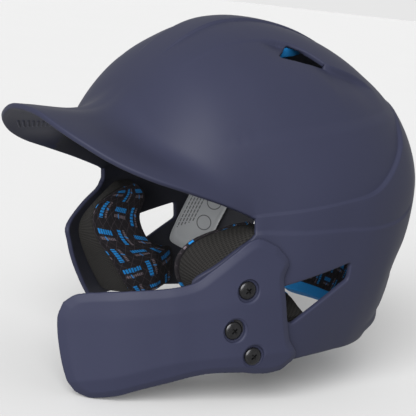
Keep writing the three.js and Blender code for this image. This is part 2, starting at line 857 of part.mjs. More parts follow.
// The crown foam: a cap of even thickness between the shell and the crown pad.
function makeCrownFoam() {
  const middle = new THREE.Vector3(0, 0, CROWN_HEIGHT - FOAM_AT);
  const points = discPoints((angle, share) =>
    share === 0 ? middle : underFace(angle, crownPoint(angle, CROWN_REACH * share).z, FOAM_AT),
  );
  const faces = discFaces();
  add("crown_foam", bodyBetween(points, inset(points, faces, FOAM), faces), MATERIALS.foam);
}

function makePadding() {
  makeCrownPad();
  makeCrownFoam();
  layeredPad("front", -38, 38, 62, 90);
  layeredPad("nape", 152, 208, -102, -24, NAPE_FOAM, -107.5);
  layeredPad("rear", 150, 210, 10, 58);
  layeredPad("side_left", 66, 118, 14, 54);
  layeredPad("side_right", -118, -66, 14, 54);
  makeEarPads();
  makeLabel();
}

makeShell();
makeGuard();
makeFasteners();
makePadding();

export default helmet;
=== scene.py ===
"""A batting helmet with a clamped-on jaw guard, laid out as an add-on and run as a script.

Every piece is drawn in the mould frame, in millimetres: +Z up, the peak towards -Y, the wearer's
left at +X, and the origin at the middle of the widest ring. WORN then puts it in the frame in
which the helmet is worn, in metres.
"""
import math

import bmesh
import bpy
from bpy.props import FloatProperty, FloatVectorProperty, PointerProperty
from mathutils import Matrix, Vector
from mathutils.kdtree import KDTree


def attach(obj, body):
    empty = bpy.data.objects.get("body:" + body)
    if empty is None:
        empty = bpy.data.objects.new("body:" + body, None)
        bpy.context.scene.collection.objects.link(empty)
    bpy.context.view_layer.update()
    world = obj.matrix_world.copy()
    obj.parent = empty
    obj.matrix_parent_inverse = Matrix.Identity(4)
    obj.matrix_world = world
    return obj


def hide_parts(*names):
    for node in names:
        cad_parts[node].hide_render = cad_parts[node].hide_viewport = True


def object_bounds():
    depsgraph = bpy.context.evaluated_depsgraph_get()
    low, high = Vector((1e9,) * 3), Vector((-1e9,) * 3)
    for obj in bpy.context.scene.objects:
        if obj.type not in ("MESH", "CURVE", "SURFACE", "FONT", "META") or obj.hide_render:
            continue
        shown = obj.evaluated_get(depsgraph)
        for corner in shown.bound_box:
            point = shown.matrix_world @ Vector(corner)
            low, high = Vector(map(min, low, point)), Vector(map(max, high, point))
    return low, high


bl_info = {
    "name": "Batting Helmet",
    "version": (1, 0, 0),
    "blender": (4, 5, 0),
    "location": "View3D > Sidebar > Helmet",
    "description": "Builds a padded batting helmet with a jaw guard round its packed frame",
    "category": "Add Mesh",
}

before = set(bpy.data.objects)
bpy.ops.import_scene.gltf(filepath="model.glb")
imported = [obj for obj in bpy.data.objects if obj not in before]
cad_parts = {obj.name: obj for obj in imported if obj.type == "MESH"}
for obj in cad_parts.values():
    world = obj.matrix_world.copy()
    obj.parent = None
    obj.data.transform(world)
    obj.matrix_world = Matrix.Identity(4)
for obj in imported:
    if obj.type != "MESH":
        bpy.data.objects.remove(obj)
CAD_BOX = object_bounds()

MM = 0.001
HEAD_MIDDLE = Vector((0, 17, 20))
WEARING_PITCH = math.radians(8)
WORN = (
    Matrix.Scale(MM, 4)
    @ Matrix.Rotation(WEARING_PITCH, 4, "X")
    @ Matrix.Translation(-HEAD_MIDDLE)
)

# ---- Driving dimensions of the shell, in millimetres ------------------------------------------

HALF_WIDTH = 103
FRONT_LENGTH = 107
BACK_LENGTH = 141
CROWN_HEIGHT = 116.8
PLAN_POWER = 2.5
PROFILE_POWER = 1.83
TEMPLE_TUCK = 8
TEMPLE_AT = -38
TEMPLE_REACH = 23
TEMPLE_HEIGHT = 45
SKIRT_DEPTH = 260
SKIRT_SIDE = 0.5
SKIRT_BACK = 1.5
WALL = 3.6
BELT = 2
DEGREE_LENGTH = 1.95  # length along the widest ring of one degree of plan angle
TEMPLE_ANGLE = 68.5
PEAK_PITCH = 8
PEAK_FILLET = 6
SIDE_FILLET = 28
FILLET_GROWTH = 1.2
FILLET_REACH = 0.42

# The free edge of the peak from its middle to the temple, and the front edge of an ear flap
# and the lower rim as (plan angle, height).
PEAK_EDGE = [
    (0, -148, 71), (18, -147.5, 69.5), (36, -144, 63), (52, -137, 55), (67, -124.6, 44.5),
    (80, -106.9, 34.2), (88, -85, 24.5), (91.5, -60, 13),
]
FLAP_EDGE = [
    (68.5, 2), (67.6, -9), (60.5, -17.5), (53.2, -26), (45.6, -34.7), (46.4, -44.5),
    (47.6, -54.4), (49.5, -64), (51.7, -73), (54, -82), (57.2, -93),
]
LOWER_RIM = [(57.2, -93), (87, -94.6), (106, -97.4), (127, -100.4), (140, -101), (180, -106)]

# Ledges moulded into the dome, as (plan angle, height): the face steps outwards below each.
BELT_LEDGE = [
    (68.5, 3.5), (85, 4), (108, 5.6), (114, 6.2), (118, 7.6), (122.5, 11), (130, 19.8), (137, 30),
    (143, 41), (150, 49), (165, 56), (180, 58),
]
FLANGE_LEDGE = [
    (68.5, -7), (84.4, -9.9), (102.7, -12.3), (119.9, -16.1), (134.7, -15.3), (144, -7.7),
    (160, 4), (180, 8),
]
# The edge of the raised middle strip of the crown, as (distance back, half width).
STRIP_EDGE = [(-60, 37), (0, 40), (23, 44), (37, 51), (46, 58), (54.5, 59.5), (69, 59), (90, 58)]

# The back below the flange: how far its face lies out from the dome, by height.
REAR_HOLLOW = [
    (-110, -1.8), (-103, -1.6), (-97, -0.6), (-94, 0.9), (-91, 0.7), (-88, -1.3), (-82, -1.3),
    (-72, -2.2), (-66, -3.0), (-60, -3.6), (-50, -3.6), (-36, -2.0), (-12, -0.6), (0, 0), (10, 0),
]

# Openings: ear vents as (y, height), crown scoops as (x, y), back vents as (x, height).
EAR_VENT = [(30.5, -35.5), (29.8, -47), (-16, -68.5), (-27, -60), (-24, -43)]
SCOOP_VENT = [(44.5, 23), (53.5, 10), (57.5, 28), (58, 46), (51, 37)]
BACK_VENT = [(57, -49), (78, -52), (77, -64), (57, -61)]

# ---- Driving dimensions of the jaw guard and its fasteners -------------------------------------

GUARD_PLAN = [
    (-160, 35), (-144, 50), (-124.5, 70), (-98.6, 85), (-83, 91), (-62, 98.8), (-45, 102.6),
    (-22, 105.4), (0, 106),
]
GUARD_TOP = [
    (-150.5, -44.5), (-144, -39), (-124.5, -36), (-98.6, -35), (-83, -32.5), (-72.5, -25.5),
    (-58, -15.5), (-43.5, -8.4), (-29.6, -14.6),
]
GUARD_REAR = [
    (-29.6, -14.6), (-21.2, -25.7), (-25, -35.2), (-23.6, -50.2), (-19.5, -78), (-13.3, -90.4),
    (-23.2, -98.6),
]
GUARD_BOTTOM = [
    (-145.5, -103), (-138.5, -107), (-110, -99.5), (-77, -93.3), (-54.2, -94.8), (-34.7, -98.9),
    (-23.2, -98.6),
]
GUARD_FRONT = [(-150.5, -44.5), (-153, -54), (-152, -76), (-149, -94.5), (-145.5, -103)]
GUARD_WALL = 4.4
GUARD_RIM = 1.0
GUARD_TUCK = 0.045
GUARD_MIDDLE = -50
UPPER_FOLD = [(-160, -55.8), (-116, -51.7), (-37, -44.4), (0, -41)]
LOWER_FOLD = [(-160, -99), (-139.8, -93.8), (-91.5, -82.1), (-10.8, -85.4), (0, -86)]

SCREWS = [("upper", -51.4, -40), ("middle", -60, -65), ("lower", -46.5, -84)]
SCREW_AXIS = Vector((1, -0.18, 0)).normalized()
WELL_RADIUS = 7.4
WELL_DEPTH = 2.9
HEAD_RADIUS = 5.8
HEAD_HEIGHT = 2.5
SHANK_RADIUS = 2.4
GUARD_HOLE_RADIUS = 2.8
SHELL_HOLE_RADIUS = 4.4
SPACER_RADIUS = 8
NUT_BARREL_RADIUS = 4
NUT_FLANGE_RADIUS = 7.5
NUT_FLANGE = 1.4
NUT_BORE_RADIUS = 2.75
FIT = 0.4

# ---- Driving dimensions of the padding ---------------------------------------------------------

FOAM_AT = WALL + 2.2
FOAM = 8
NAPE_FOAM = 13
LAYER_GAP = 1
PAD = 7
EAR_PAD_AT = WALL + 6.6
EAR_PAD_FOOT = 3
LINER = 4
CROWN_FLAT = 78
CROWN_RADIUS = 46
CROWN_REACH = 0.30
EAR_BACK_FRONT = [(-31, -7), (-49, -18), (-68, -34), (-63, -56), (-46, -90)]
EAR_BACK_REAR = [(-17, -8), (-28, -30), (-29, -64), (6, -72), (8, -92)]
EAR_FACE_FRONT = [
    (-38, -8), (-57, -13), (-66, -18), (-71, -28), (-68, -41), (-61, -52), (-51, -70), (-43, -83),
]
EAR_FACE_REAR = [
    (-24, -7), (-19, -16), (-29, -30), (-25, -46), (-15, -52), (-2, -57), (6, -60), (8, -84),
]
# Each lining as (name, from angle, to angle, lowest, highest, foam thickness, foam's lowest).
LININGS = [
    ("front", -38, 38, 62, 90, FOAM, 62),
    ("nape", 152, 208, -102, -24, NAPE_FOAM, -107.5),
    ("rear", 150, 210, 10, 58, FOAM, 10),
    ("side_left", 66, 118, 14, 54, FOAM, 14),
    ("side_right", -118, -66, 14, 54, FOAM, 14),
]
LABEL_CORNER = Vector((19, -63))
LABEL_LONG = Vector((35, 51))
LABEL_WIDE = Vector((26, -18))
LABEL_AT = WALL + 0.8
LABEL = 0.4


# ---- What a user can change ----------------------------------------------------------------

def colour(name, text, value):
    return FloatVectorProperty(
        name=name, description=text, default=value, subtype="COLOR", size=3, min=0, max=1
    )


class HelmetColours(bpy.types.PropertyGroup):
    """The colours of the paint, foam and fabrics."""

    navy: colour("Navy", "The soft-touch paint of the shell and guard", (0.0130, 0.0142, 0.0275))
    # The inside colour is darker than the navy as painted shade, standing for the shade inside the
    # shell.
    inside_painted_shade: colour("Bare plastic", "The unpainted inside of the shell", (0.006, 0.0065, 0.011))
    foam: colour("Foam", "The blue closed-cell foam", (0.003, 0.13, 0.34))
    mesh: colour("Spacer mesh", "The knitted side walls of the ear pads", (0.0100, 0.0094, 0.0088))
    knit: colour("Knit", "The ground of the printed fabric", (0.0042, 0.0036, 0.0045))
    print_blue: colour("Print, blue", "The bright bars of the print", (0.005, 0.12, 0.32))
    print_grey: colour("Print, grey", "The pale bars of the print", (0.11, 0.09, 0.105))


class HelmetSizes(bpy.types.PropertyGroup):
    """The small sizes that set how the moulding and padding look."""

    rim: FloatProperty(
        name="Rim radius", description="Rounding of the shell's free edges",
        default=0.0011, min=0.0002, max=0.0016, subtype="DISTANCE", unit="LENGTH",
    )
    ledge: FloatProperty(
        name="Belt ledge", description="Height of the moulded ledge at the back",
        default=0.0024, min=0, max=0.004, subtype="DISTANCE", unit="LENGTH",
    )
    chamfer: FloatProperty(
        name="Guard border", description="Width of the sloping border of the jaw guard",
        default=0.0044, min=0.001, max=0.008, subtype="DISTANCE", unit="LENGTH",
    )
    crown: FloatProperty(
        name="Pad crown", description="How far a pad's face stands up at its middle",
        default=0.0016, min=0, max=0.004, subtype="DISTANCE", unit="LENGTH",
    )


class StageSettings(bpy.types.PropertyGroup):
    """The floor and the light."""

    floor: colour("Floor", "The plain pale floor", (0.42, 0.42, 0.42))
    key: FloatProperty(
        name="Key light", description="Strength of the soft key",
        default=9.0, min=0, subtype="POWER", unit="POWER",
    )
    fill: FloatProperty(
        name="Fill", description="Strength of the light all round",
        default=0.8, min=0, max=2, subtype="FACTOR",
    )


# ---- Shader maths ------------------------------------------------------------------------------

class Wire:
    """An output socket. Arithmetic on it adds Math nodes."""

    def __init__(self, recipe, socket):
        self.recipe = recipe
        self.socket = socket

    def math(self, operation, *values):
        return self.recipe.node("ShaderNodeMath", {"operation": operation}, dict(enumerate(values)))

    def __add__(self, other):
        return self.math("ADD", self, other)

    __radd__ = __add__

    def __sub__(self, other):
        return self.math("SUBTRACT", self, other)

    def __rsub__(self, other):
        return self.math("SUBTRACT", other, self)

    def __mul__(self, other):
        return self.math("MULTIPLY", self, other)

    __rmul__ = __mul__

    def __truediv__(self, other):
        return self.math("DIVIDE", self, other)

    def __rtruediv__(self, other):
        return self.math("DIVIDE", other, self)

    def __lt__(self, other):
        return self.math("LESS_THAN", self, other)

    def __gt__(self, other):
        return self.math("GREATER_THAN", self, other)

    def wave(self):
        return self.math("SINE", self)

    def whole(self):
        return self.math("FLOOR", self)

    def part(self):
        return self.math("FRACT", self)

    def size(self):
        return self.math("ABSOLUTE", self)

    def root(self):
        return self.math("SQRT", self)

    def capped(self, limit):
        return self.math("MINIMUM", self, limit)


class Recipe:
    """One material: its shader and the nodes that feed it."""

    def __init__(self, name, constants=()):
        self.material = bpy.data.materials.new(name)
        self.material.use_nodes = True
        self.tree = self.material.node_tree
        self.shader = self.tree.nodes["Principled BSDF"]
        for socket, value in dict(constants).items():
            self.shader.inputs[socket].default_value = value

    def nodes(self, kind, settings=None, inputs=None):
        """A new node's enabled outputs. Its settings come first, then its sockets."""
        made = self.tree.nodes.new(kind)
        for key, value in (settings or {}).items():
            setattr(made, key, value)
        for key, value in (inputs or {}).items():
            self.feed(made.inputs[key], value)
        return [Wire(self, socket) for socket in made.outputs if socket.enabled]

    def node(self, kind, settings=None, inputs=None):
        return self.nodes(kind, settings, inputs)[0]

    def feed(self, socket, value):
        if isinstance(value, Wire):
            self.tree.links.new(value.socket, socket)
        else:
            socket.default_value = value

    def place(self):
        return self.nodes("ShaderNodeTexCoord")[3]

    def cloth(self):
        """The flat place on the cloth, in millimetres, as two numbers."""
        there = self.nodes("ShaderNodeAttribute", {"attribute_name": "cloth"})[1]
        return self.nodes("ShaderNodeSeparateXYZ", None, {0: there})[:2]

    def noise(self, scale, detail=2.0, at=None):
        inputs = {"Vector": at or self.place(), "Scale": scale, "Detail": detail}
        return self.node("ShaderNodeTexNoise", None, inputs)

    def mix(self, factor, first, second):
        inputs = {0: factor, 6: shade(first), 7: shade(second)}
        return self.node("ShaderNodeMix", {"data_type": "RGBA"}, inputs)

    def bump(self, height, strength, distance):
        inputs = {"Height": height, "Strength": strength, "Distance": distance}
        return self.node("ShaderNodeBump", None, inputs)

    def finish(self, **sockets):
        for name, value in sockets.items():
            self.feed(self.shader.inputs[name.replace("_", " ")], value)
        return self.material


def shade(value):
    """A colour for a socket: a wire as it is, or three numbers with an alpha of 1."""
    return value if isinstance(value, Wire) else (*value, 1.0)


def scaled(tint, share):
    return tuple(min(1.0, channel * share) for channel in tint)


# ---- Materials ---------------------------------------------------------------------------------

def paint(name, tint):
    """Soft-touch paint over moulded plastic: faintly mottled, with a very fine grain."""
    recipe = Recipe(name, {"Specular IOR Level": 0.12})
    cloud = recipe.noise(14, 3)
    grain = recipe.noise(1900, 2)
    orange_peel = recipe.noise(420, 2)
    base = recipe.mix(cloud, scaled(tint, 0.93), scaled(tint, 1.07))
    base = recipe.mix(grain * 0.16, base, scaled(tint, 1.5))
    height = grain * 0.5 + orange_peel
    return recipe.finish(
        Base_Color=base,
        Roughness=0.48 + 0.1 * cloud + 0.06 * grain,
        Normal=recipe.bump(height, 0.09, 0.00025),
    )


def inside_plastic_with_painted_shade(name, tint):
    """The inside of the moulding: bare plastic with a spark-eroded texture, its colour darkened as
    painted shade.
    """
    recipe = Recipe(name, {"Specular IOR Level": 0.35})
    grain = recipe.noise(900, 3)
    cloud = recipe.noise(22, 2)
    return recipe.finish(
        Base_Color=recipe.mix(cloud, scaled(tint, 0.8), scaled(tint, 1.3)),
        Roughness=0.55 + 0.2 * grain,
        Normal=recipe.bump(grain, 0.25, 0.0003),
    )


def printed_knit(name, colours):
    """Black heather knit with a print of short blue and grey bars, turned from cell to cell."""
    recipe = Recipe(name, {"Specular IOR Level": 0.15})
    across, down = recipe.cloth()
    wide, tall = 15.0, 13.0
    column = (across / wide).whole()
    row = (down / tall).whole()
    turned = ((column + row) * 0.5).part() > 0.25
    u = (across / wide).part()
    v = (down / tall).part()
    run = u + turned * (v - u)
    lane = v + turned * (u - v)
    cell = recipe.node("ShaderNodeCombineXYZ", None, {0: column, 1: row})
    chance = recipe.node("ShaderNodeTexWhiteNoise", {"noise_dimensions": "2D"}, {"Vector": cell})
    shift = chance * 0.16
    inside = (run > 0.1 + shift * 0.5) * (run < 0.82 + shift)
    blocks = ((run * 8.0 + chance * 3.0).part() < 0.74) * inside
    thin = ((run * 11.0 + chance * 5.0).part() < 0.7) * inside
    blue = ((lane - 0.36).size() < 0.1) * blocks
    grey = ((lane - 0.64).size() < 0.062) * thin
    slash = ((lane - 0.64).size() < 0.09) * ((run - 0.45 - 0.3 * (lane - 0.64)).size() < 0.03)
    diagonal = ((across + down) / 7.0).part() < 0.05
    counter = ((across - down) / 7.0).part() < 0.05
    net = (diagonal + counter).capped(1.0)
    heather = recipe.noise(700, 3)
    fleck = recipe.noise(2600, 1)
    loops = (across * 7.5).wave() * (down * 9.0 + (across * 7.5).wave() * 0.8).wave()
    ground = recipe.mix(heather, scaled(colours.knit, 0.45), scaled(colours.knit, 2.4))
    ground = recipe.mix((fleck > 0.62) * 0.35, ground, scaled(colours.knit, 5))
    ground = recipe.mix(net * 0.2, ground, colours.print_grey)
    base = recipe.mix(grey * (0.45 + 0.4 * heather), ground, colours.print_grey)
    base = recipe.mix((blue + slash).capped(0.9), base, colours.print_blue)
    return recipe.finish(
        Base_Color=base,
        Roughness=0.86 + 0.1 * heather,
        Normal=recipe.bump(loops + heather, 0.5, 0.00025),
    )


def spacer_mesh(name, tint):
    """Knitted spacer mesh: a fine lattice of diamond dimples, their holes darkened as painted shade.
    """
    recipe = Recipe(name, {"Specular IOR Level": 0.15})
    across, down = recipe.cloth()
    pitch = 2 * math.pi / 2.9
    first = ((across + down * 0.7) * pitch).wave()
    second = ((across - down * 0.7) * pitch).wave()
    dimple = first * second
    hole = (dimple > 0.3) * 0.85
    fibre = recipe.noise(1400, 3)
    cloud = recipe.noise(40, 2)
    base = recipe.mix(fibre * 0.7 + cloud * 0.3, scaled(tint, 0.6), scaled(tint, 1.6))
    # The holes are darkened to a third of the tint: painted shade inside the dimples.
    base = recipe.mix(hole, base, scaled(tint, 0.3))
    return recipe.finish(
        Base_Color=base,
        Roughness=0.88 + 0.08 * fibre,
        Normal=recipe.bump(0.35 * fibre - dimple, 0.8, 0.0006),
    )


def foam(name, tint):
    """Closed-cell foam with a fine pored skin, its pores darkened as painted shade."""
    recipe = Recipe(name, {"Specular IOR Level": 0.3})
    cells = recipe.node(
        "ShaderNodeTexVoronoi", None, {"Vector": recipe.place(), "Scale": 1300.0}
    )
    cloud = recipe.noise(60, 3)
    base = recipe.mix(cloud, scaled(tint, 0.82), scaled(tint, 1.12))
    # The pores are darkened towards half the tint: painted shade in the pits.
    base = recipe.mix((cells < 0.16) * 0.4, base, scaled(tint, 0.5))
    return recipe.finish(
        Base_Color=base, Roughness=0.68 + 0.16 * cloud, Normal=recipe.bump(cells, 0.35, 0.0003)
    )


def hook_tape(name, tint):
    """Woven hook tape: rows of tiny stiff loops, with the light and shade of the weave painted into
    its colour over a random fuzz tone.
    """
    recipe = Recipe(name, {"Specular IOR Level": 0.3})
    x, y, z = recipe.nodes("ShaderNodeSeparateXYZ", None, {0: recipe.place()})
    pitch = 2 * math.pi / 0.0011
    weave = (x * pitch).wave() * (z * pitch).wave() + (y * pitch).wave() * 0.5
    fuzz = recipe.noise(1500, 3)
    return recipe.finish(
        # The colour follows the weave relief as painted light and shade, plus a random fuzz tone.
        Base_Color=recipe.mix(weave * 0.3 + fuzz * 0.5, scaled(tint, 0.5), scaled(tint, 2.2)),
        Roughness=0.8 + 0.15 * fuzz,
        Normal=recipe.bump(weave + fuzz, 0.7, 0.0004),
    )


def black_steel(name):
    """Black-oxide steel: dark, half glossy, with a slight mottling and brighter worn spots."""
    recipe = Recipe(name, {"Metallic": 0.75})
    cloud = recipe.noise(380, 3)
    fine = recipe.noise(2400, 2)
    return recipe.finish(
        Base_Color=recipe.mix(cloud * fine, (0.006, 0.006, 0.0065), (0.04, 0.04, 0.042)),
        Roughness=0.16 + 0.2 * cloud,
        Normal=recipe.bump(fine, 0.12, 0.0001),
    )


def zinc(name):
    """Zinc-plated steel with faint turning marks."""
    recipe = Recipe(name, {"Metallic": 1.0})
    cloud = recipe.noise(160, 4)
    return recipe.finish(
        Base_Color=recipe.mix(cloud, (0.38, 0.39, 0.41), (0.62, 0.63, 0.64)),
        Roughness=0.28 + 0.2 * cloud,
        Normal=recipe.bump(recipe.noise(1800, 2), 0.1, 0.0001),
    )


def rubber(name):
    """Matte black rubber with a dusty bloom."""
    recipe = Recipe(name, {"Specular IOR Level": 0.3})
    cloud = recipe.noise(90, 3)
    return recipe.finish(
        Base_Color=recipe.mix(cloud, (0.007, 0.007, 0.008), (0.02, 0.02, 0.022)),
        Roughness=0.78 + 0.14 * cloud,
        Normal=recipe.bump(recipe.noise(1500, 2), 0.2, 0.0002),
    )


def label_film(name):
    """Silvered film printed with plain grey bars and two plain rings."""
    recipe = Recipe(name, {"Specular IOR Level": 0.5})
    across, down = recipe.cloth()
    cloud = recipe.noise(50, 2)
    base = recipe.mix(cloud, (0.27, 0.28, 0.29), (0.36, 0.37, 0.38))
    lines = ((across * 0.42).part() < 0.42) * (across < 13.5) * (across > 2.5)
    ends = (down > 4.0) * (down < 52.0 - 2.5 * (across * 0.42).whole())
    words = ((down * 0.28 + (across * 0.42).whole() * 0.37).part() < 0.8) * ends
    ink = lines * words
    for middle in (18.0, 36.0):
        far = (across - 21.0) * (across - 21.0) + (down - middle) * (down - middle)
        ring = (far.root() - 5.6).size() < 0.42
        ink = ink + ring
    ink = ink.capped(1.0)
    return recipe.finish(
        Base_Color=recipe.mix(ink * 0.85, base, (0.05, 0.05, 0.055)),
        Roughness=0.34 + 0.2 * cloud,
        Metallic=0.25 - 0.2 * ink,
        Normal=recipe.bump(cloud, 0.05, 0.0003),
    )


def floor_paint(name, tint):
    recipe = Recipe(name)
    cloud = recipe.noise(3, 2)
    return recipe.finish(
        Base_Color=recipe.mix(cloud, scaled(tint, 0.99), scaled(tint, 1.01)), Roughness=0.9
    )


def material(name):
    """The material with a name, made the first time it is asked for."""
    finish = f"{name}_finish"
    if finish in bpy.data.materials:
        return bpy.data.materials[finish]
    colours = bpy.context.scene.helmet_colours
    makers = {
        "navy_paint": lambda: paint(finish, colours.navy),
        "guard_paint": lambda: paint(finish, scaled(colours.navy, 1.06)),
        "inside_plastic_with_painted_shade": lambda: inside_plastic_with_painted_shade(finish, colours.inside_painted_shade),
        "printed_knit": lambda: printed_knit(finish, colours),
        "spacer_mesh": lambda: spacer_mesh(finish, colours.mesh),
        "blue_foam": lambda: foam(finish, colours.foam),
        "hook_tape": lambda: hook_tape(finish, (0.010, 0.010, 0.011)),
        "black_steel": lambda: black_steel(finish),
        "zinc": lambda: zinc(finish),
        "rubber": lambda: rubber(finish),
        "label_film": lambda: label_film(finish),
    }
    return makers[name]()


# ---- Curves and mesh helpers -------------------------------------------------------------------

class Line:
    """A smooth curve through a few points, measured along its length from 0 to 1."""

    def __init__(self, points):
        self.points = [Vector(point) for point in points]
        self.marks = [0.0]
        for a, b in zip(self.points, self.points[1:]):
            self.marks.append(self.marks[-1] + (b - a).length)
        last = len(points) - 1
        self.aims = []
        for i in range(last + 1):
            low, high = max(i - 1, 0), min(i + 1, last)
            step = self.points[high] - self.points[low]
            self.aims.append(step / (self.marks[high] - self.marks[low]))

    def on_span(self, i, t):
        span = self.marks[i + 1] - self.marks[i]
        a, b = self.points[i], self.points[i + 1]
        m, n = self.aims[i] * span, self.aims[i + 1] * span
        cube, square = t ** 3, t ** 2
        return (
            a * (2 * cube - 3 * square + 1) + m * (cube - 2 * square + t)
            + b * (3 * square - 2 * cube) + n * (cube - square)
        )

    def at(self, share):
        mark = share * self.marks[-1]
        i = 0
        while i < len(self.points) - 2 and self.marks[i + 1] < mark:
            i += 1
        return self.on_span(i, (mark - self.marks[i]) / (self.marks[i + 1] - self.marks[i]))

    def at_point(self, place):
        """The point at a place counted in points, so that 2.5 is half way from 2 to 3."""
        i = min(int(place), len(self.points) - 2)
        return self.on_span(i, place - i)


def look_up(table, key):
    """The value at a key, on a smooth curve through (key, value) rows."""
    last = len(table) - 1
    key = min(max(key, table[0][0]), table[last][0])
    i = 0
    while i < last - 1 and table[i + 1][0] < key:
        i += 1

    def slope(at):
        low, high = max(at - 1, 0), min(at + 1, last)
        return (table[high][1] - table[low][1]) / (table[high][0] - table[low][0])

    span = table[i + 1][0] - table[i][0]
    t = (key - table[i][0]) / span
    cube, square = t ** 3, t ** 2
    return (
        table[i][1] * (2 * cube - 3 * square + 1) + slope(i) * span * (cube - 2 * square + t)
        + table[i + 1][1] * (3 * square - 2 * cube) + slope(i + 1) * span * (cube - square)
    )


def smooth(low, high, value):
    t = min(max((value - low) / (high - low), 0.0), 1.0)
    return t * t * (3 - 2 * t)


def sheet(columns, rows, place):
    """A grid of faces whose points are place(across, down), both from 0 to 1."""
    bm = bmesh.new()
    bmesh.ops.create_grid(bm, x_segments=columns, y_segments=rows, size=1)
    for vert in bm.verts:
        vert.co = place((vert.co.x + 1) / 2, (1 - vert.co.y) / 2)
    return bm


def joined(first, second):
    """Adds the second mesh to the first one."""
    mesh = bpy.data.meshes.new("passing")
    second.to_mesh(mesh)
    first.from_mesh(mesh)
    bpy.data.meshes.remove(mesh)
    second.free()
    return first


def turned(profile, steps=56):
    """A closed body of revolution about Z, from (radius, height) points."""
    bm = bmesh.new()
    verts = [bm.verts.new((radius, 0, height)) for radius, height in profile]
    edges = [bm.edges.new(pair) for pair in zip(verts, verts[1:])]
    bmesh.ops.spin(
        bm, geom=verts + edges, cent=(0, 0, 0), axis=(0, 0, 1), angle=2 * math.pi,
        steps=steps, use_merge=True,
    )
    bmesh.ops.remove_doubles(bm, verts=bm.verts[:], dist=1e-4)
    bmesh.ops.recalc_face_normals(bm, faces=bm.faces[:])
    return bm


def on_screw(bm, origin):
    """Stands a body that was turned about Z on a screw's axis."""
    turn = Vector((0, 0, 1)).rotation_difference(SCREW_AXIS).to_matrix().to_4x4()
    bmesh.ops.transform(bm, matrix=Matrix.Translation(origin) @ turn, verts=bm.verts[:])
    return bm


def piece(name, bm, materials, replaces=(), sharp=40):
    """Makes an object of a mesh drawn in the mould frame, and ties it to the frame."""
    bmesh.ops.transform(bm, matrix=WORN, verts=bm.verts[:])
    mesh = bpy.data.meshes.new(name)
    bm.to_mesh(mesh)
    bm.free()
    if not mesh.polygons:
        raise RuntimeError(f"{name} has no faces")
    mesh.shade_smooth()
    mesh.set_sharp_from_angle(angle=math.radians(sharp))
    obj = bpy.data.objects.new(name, mesh)
    bpy.context.scene.collection.objects.link(obj)
    for each in materials:
        mesh.materials.append(material(each))
    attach(obj, "root")
    if replaces:
        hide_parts(*replaces)
    return obj


def carve(obj, cutters):
    """Cuts closed bodies, drawn in the mould frame, out of a finished piece."""
    for bm in cutters:
        bmesh.ops.transform(bm, matrix=WORN, verts=bm.verts[:])
        mesh = bpy.data.meshes.new("cutter")
        bm.to_mesh(mesh)
        bm.free()
        tool = bpy.data.objects.new("cutter", mesh)
        bpy.context.scene.collection.objects.link(tool)
        cut = obj.modifiers.new("cut", "BOOLEAN")
        cut.object = tool
        cut.solver = "EXACT"
        bpy.context.view_layer.update()
        shape = obj.evaluated_get(bpy.context.evaluated_depsgraph_get())
        result = bpy.data.meshes.new_from_object(shape)
        obj.modifiers.clear()
        obj.data = result
        bpy.data.objects.remove(tool)
        bpy.data.meshes.remove(mesh)
    if not obj.data.polygons:
        raise RuntimeError(f"{obj.name} was cut away")


# ---- The dome's outer face ---------------------------------------------------------------------

def plan_radius(angle):
    """Radius of the widest ring at a plan angle: 0 at the peak, 90 at the left ear."""
    sine = abs(math.sin(math.radians(angle)))
    cosine = math.cos(math.radians(angle))
    length = FRONT_LENGTH if cosine > 0 else BACK_LENGTH
    total = (sine / HALF_WIDTH) ** PLAN_POWER + (abs(cosine) / length) ** PLAN_POWER
    return total ** (-1 / PLAN_POWER)


def dome_point(angle, height):
    if height > 0:
        left = max(0.0, 1 - (height / CROWN_HEIGHT) ** PROFILE_POWER)
        scale = left ** (1 / PROFILE_POWER)
    else:
        turn = SKIRT_SIDE + (SKIRT_BACK - SKIRT_SIDE) * smooth(65, 150, abs(angle))
        scale = 1 - turn * (height / SKIRT_DEPTH) ** 2
    radius = plan_radius(angle) * scale
    x = radius * math.sin(math.radians(angle))
    y = -radius * math.cos(math.radians(angle))
    level = math.exp(-((height / TEMPLE_HEIGHT) ** 2))
    near = math.exp(-(((y - TEMPLE_AT) / TEMPLE_REACH) ** 2) / 2)
    tuck = TEMPLE_TUCK * level * near * smooth(0.4, 0.9, abs(x) / HALF_WIDTH)
    return Vector((x - math.copysign(tuck, x), y, height))


def crown_share(height):
    """The share of the way down from the crown at which the dome has a height."""
    if height <= 0:
        return 1.0
    tangent = ((height / CROWN_HEIGHT) ** -PROFILE_POWER - 1) ** (1 / PROFILE_POWER)
    return math.degrees(math.atan(tangent)) / 90


def crown_point(angle, share):
    sine, cosine = math.sin(math.radians(share * 90)), math.cos(math.radians(share * 90))
    size = (sine ** PROFILE_POWER + max(cosine, 0) ** PROFILE_POWER) ** (-1 / PROFILE_POWER)
    return dome_point(angle, CROWN_HEIGHT * size * cosine)


def under_face(angle, height, depth):
    """The point at a depth under the outer face."""
    step = 0.5
    low = min(height, CROWN_HEIGHT - 2)
    across = dome_point(angle + step, low) - dome_point(angle - step, low)
    up = dome_point(angle, low + step) - dome_point(angle, low - step)
    return dome_point(angle, low) - across.cross(up).normalized() * depth


def side_point(y, height, depth):
    """The point of the left side at a y, a height and a depth under the outer face."""
    angle = 90.0
    for _ in range(14):
        angle += math.degrees((y - under_face(angle, height, depth).y) / 120)
    return under_face(angle, height, depth)


def plan_angle(point):
    return math.degrees(math.atan2(point.x, -point.y))


# ---- Shell -------------------------------------------------------------------------------------

FINE_CUTS = 2
PEAK_COLUMNS = 100
BACK_COLUMNS = 76
DOME_ROWS = 42
FLARE_ROWS = 20
FLAP_ROWS = 35


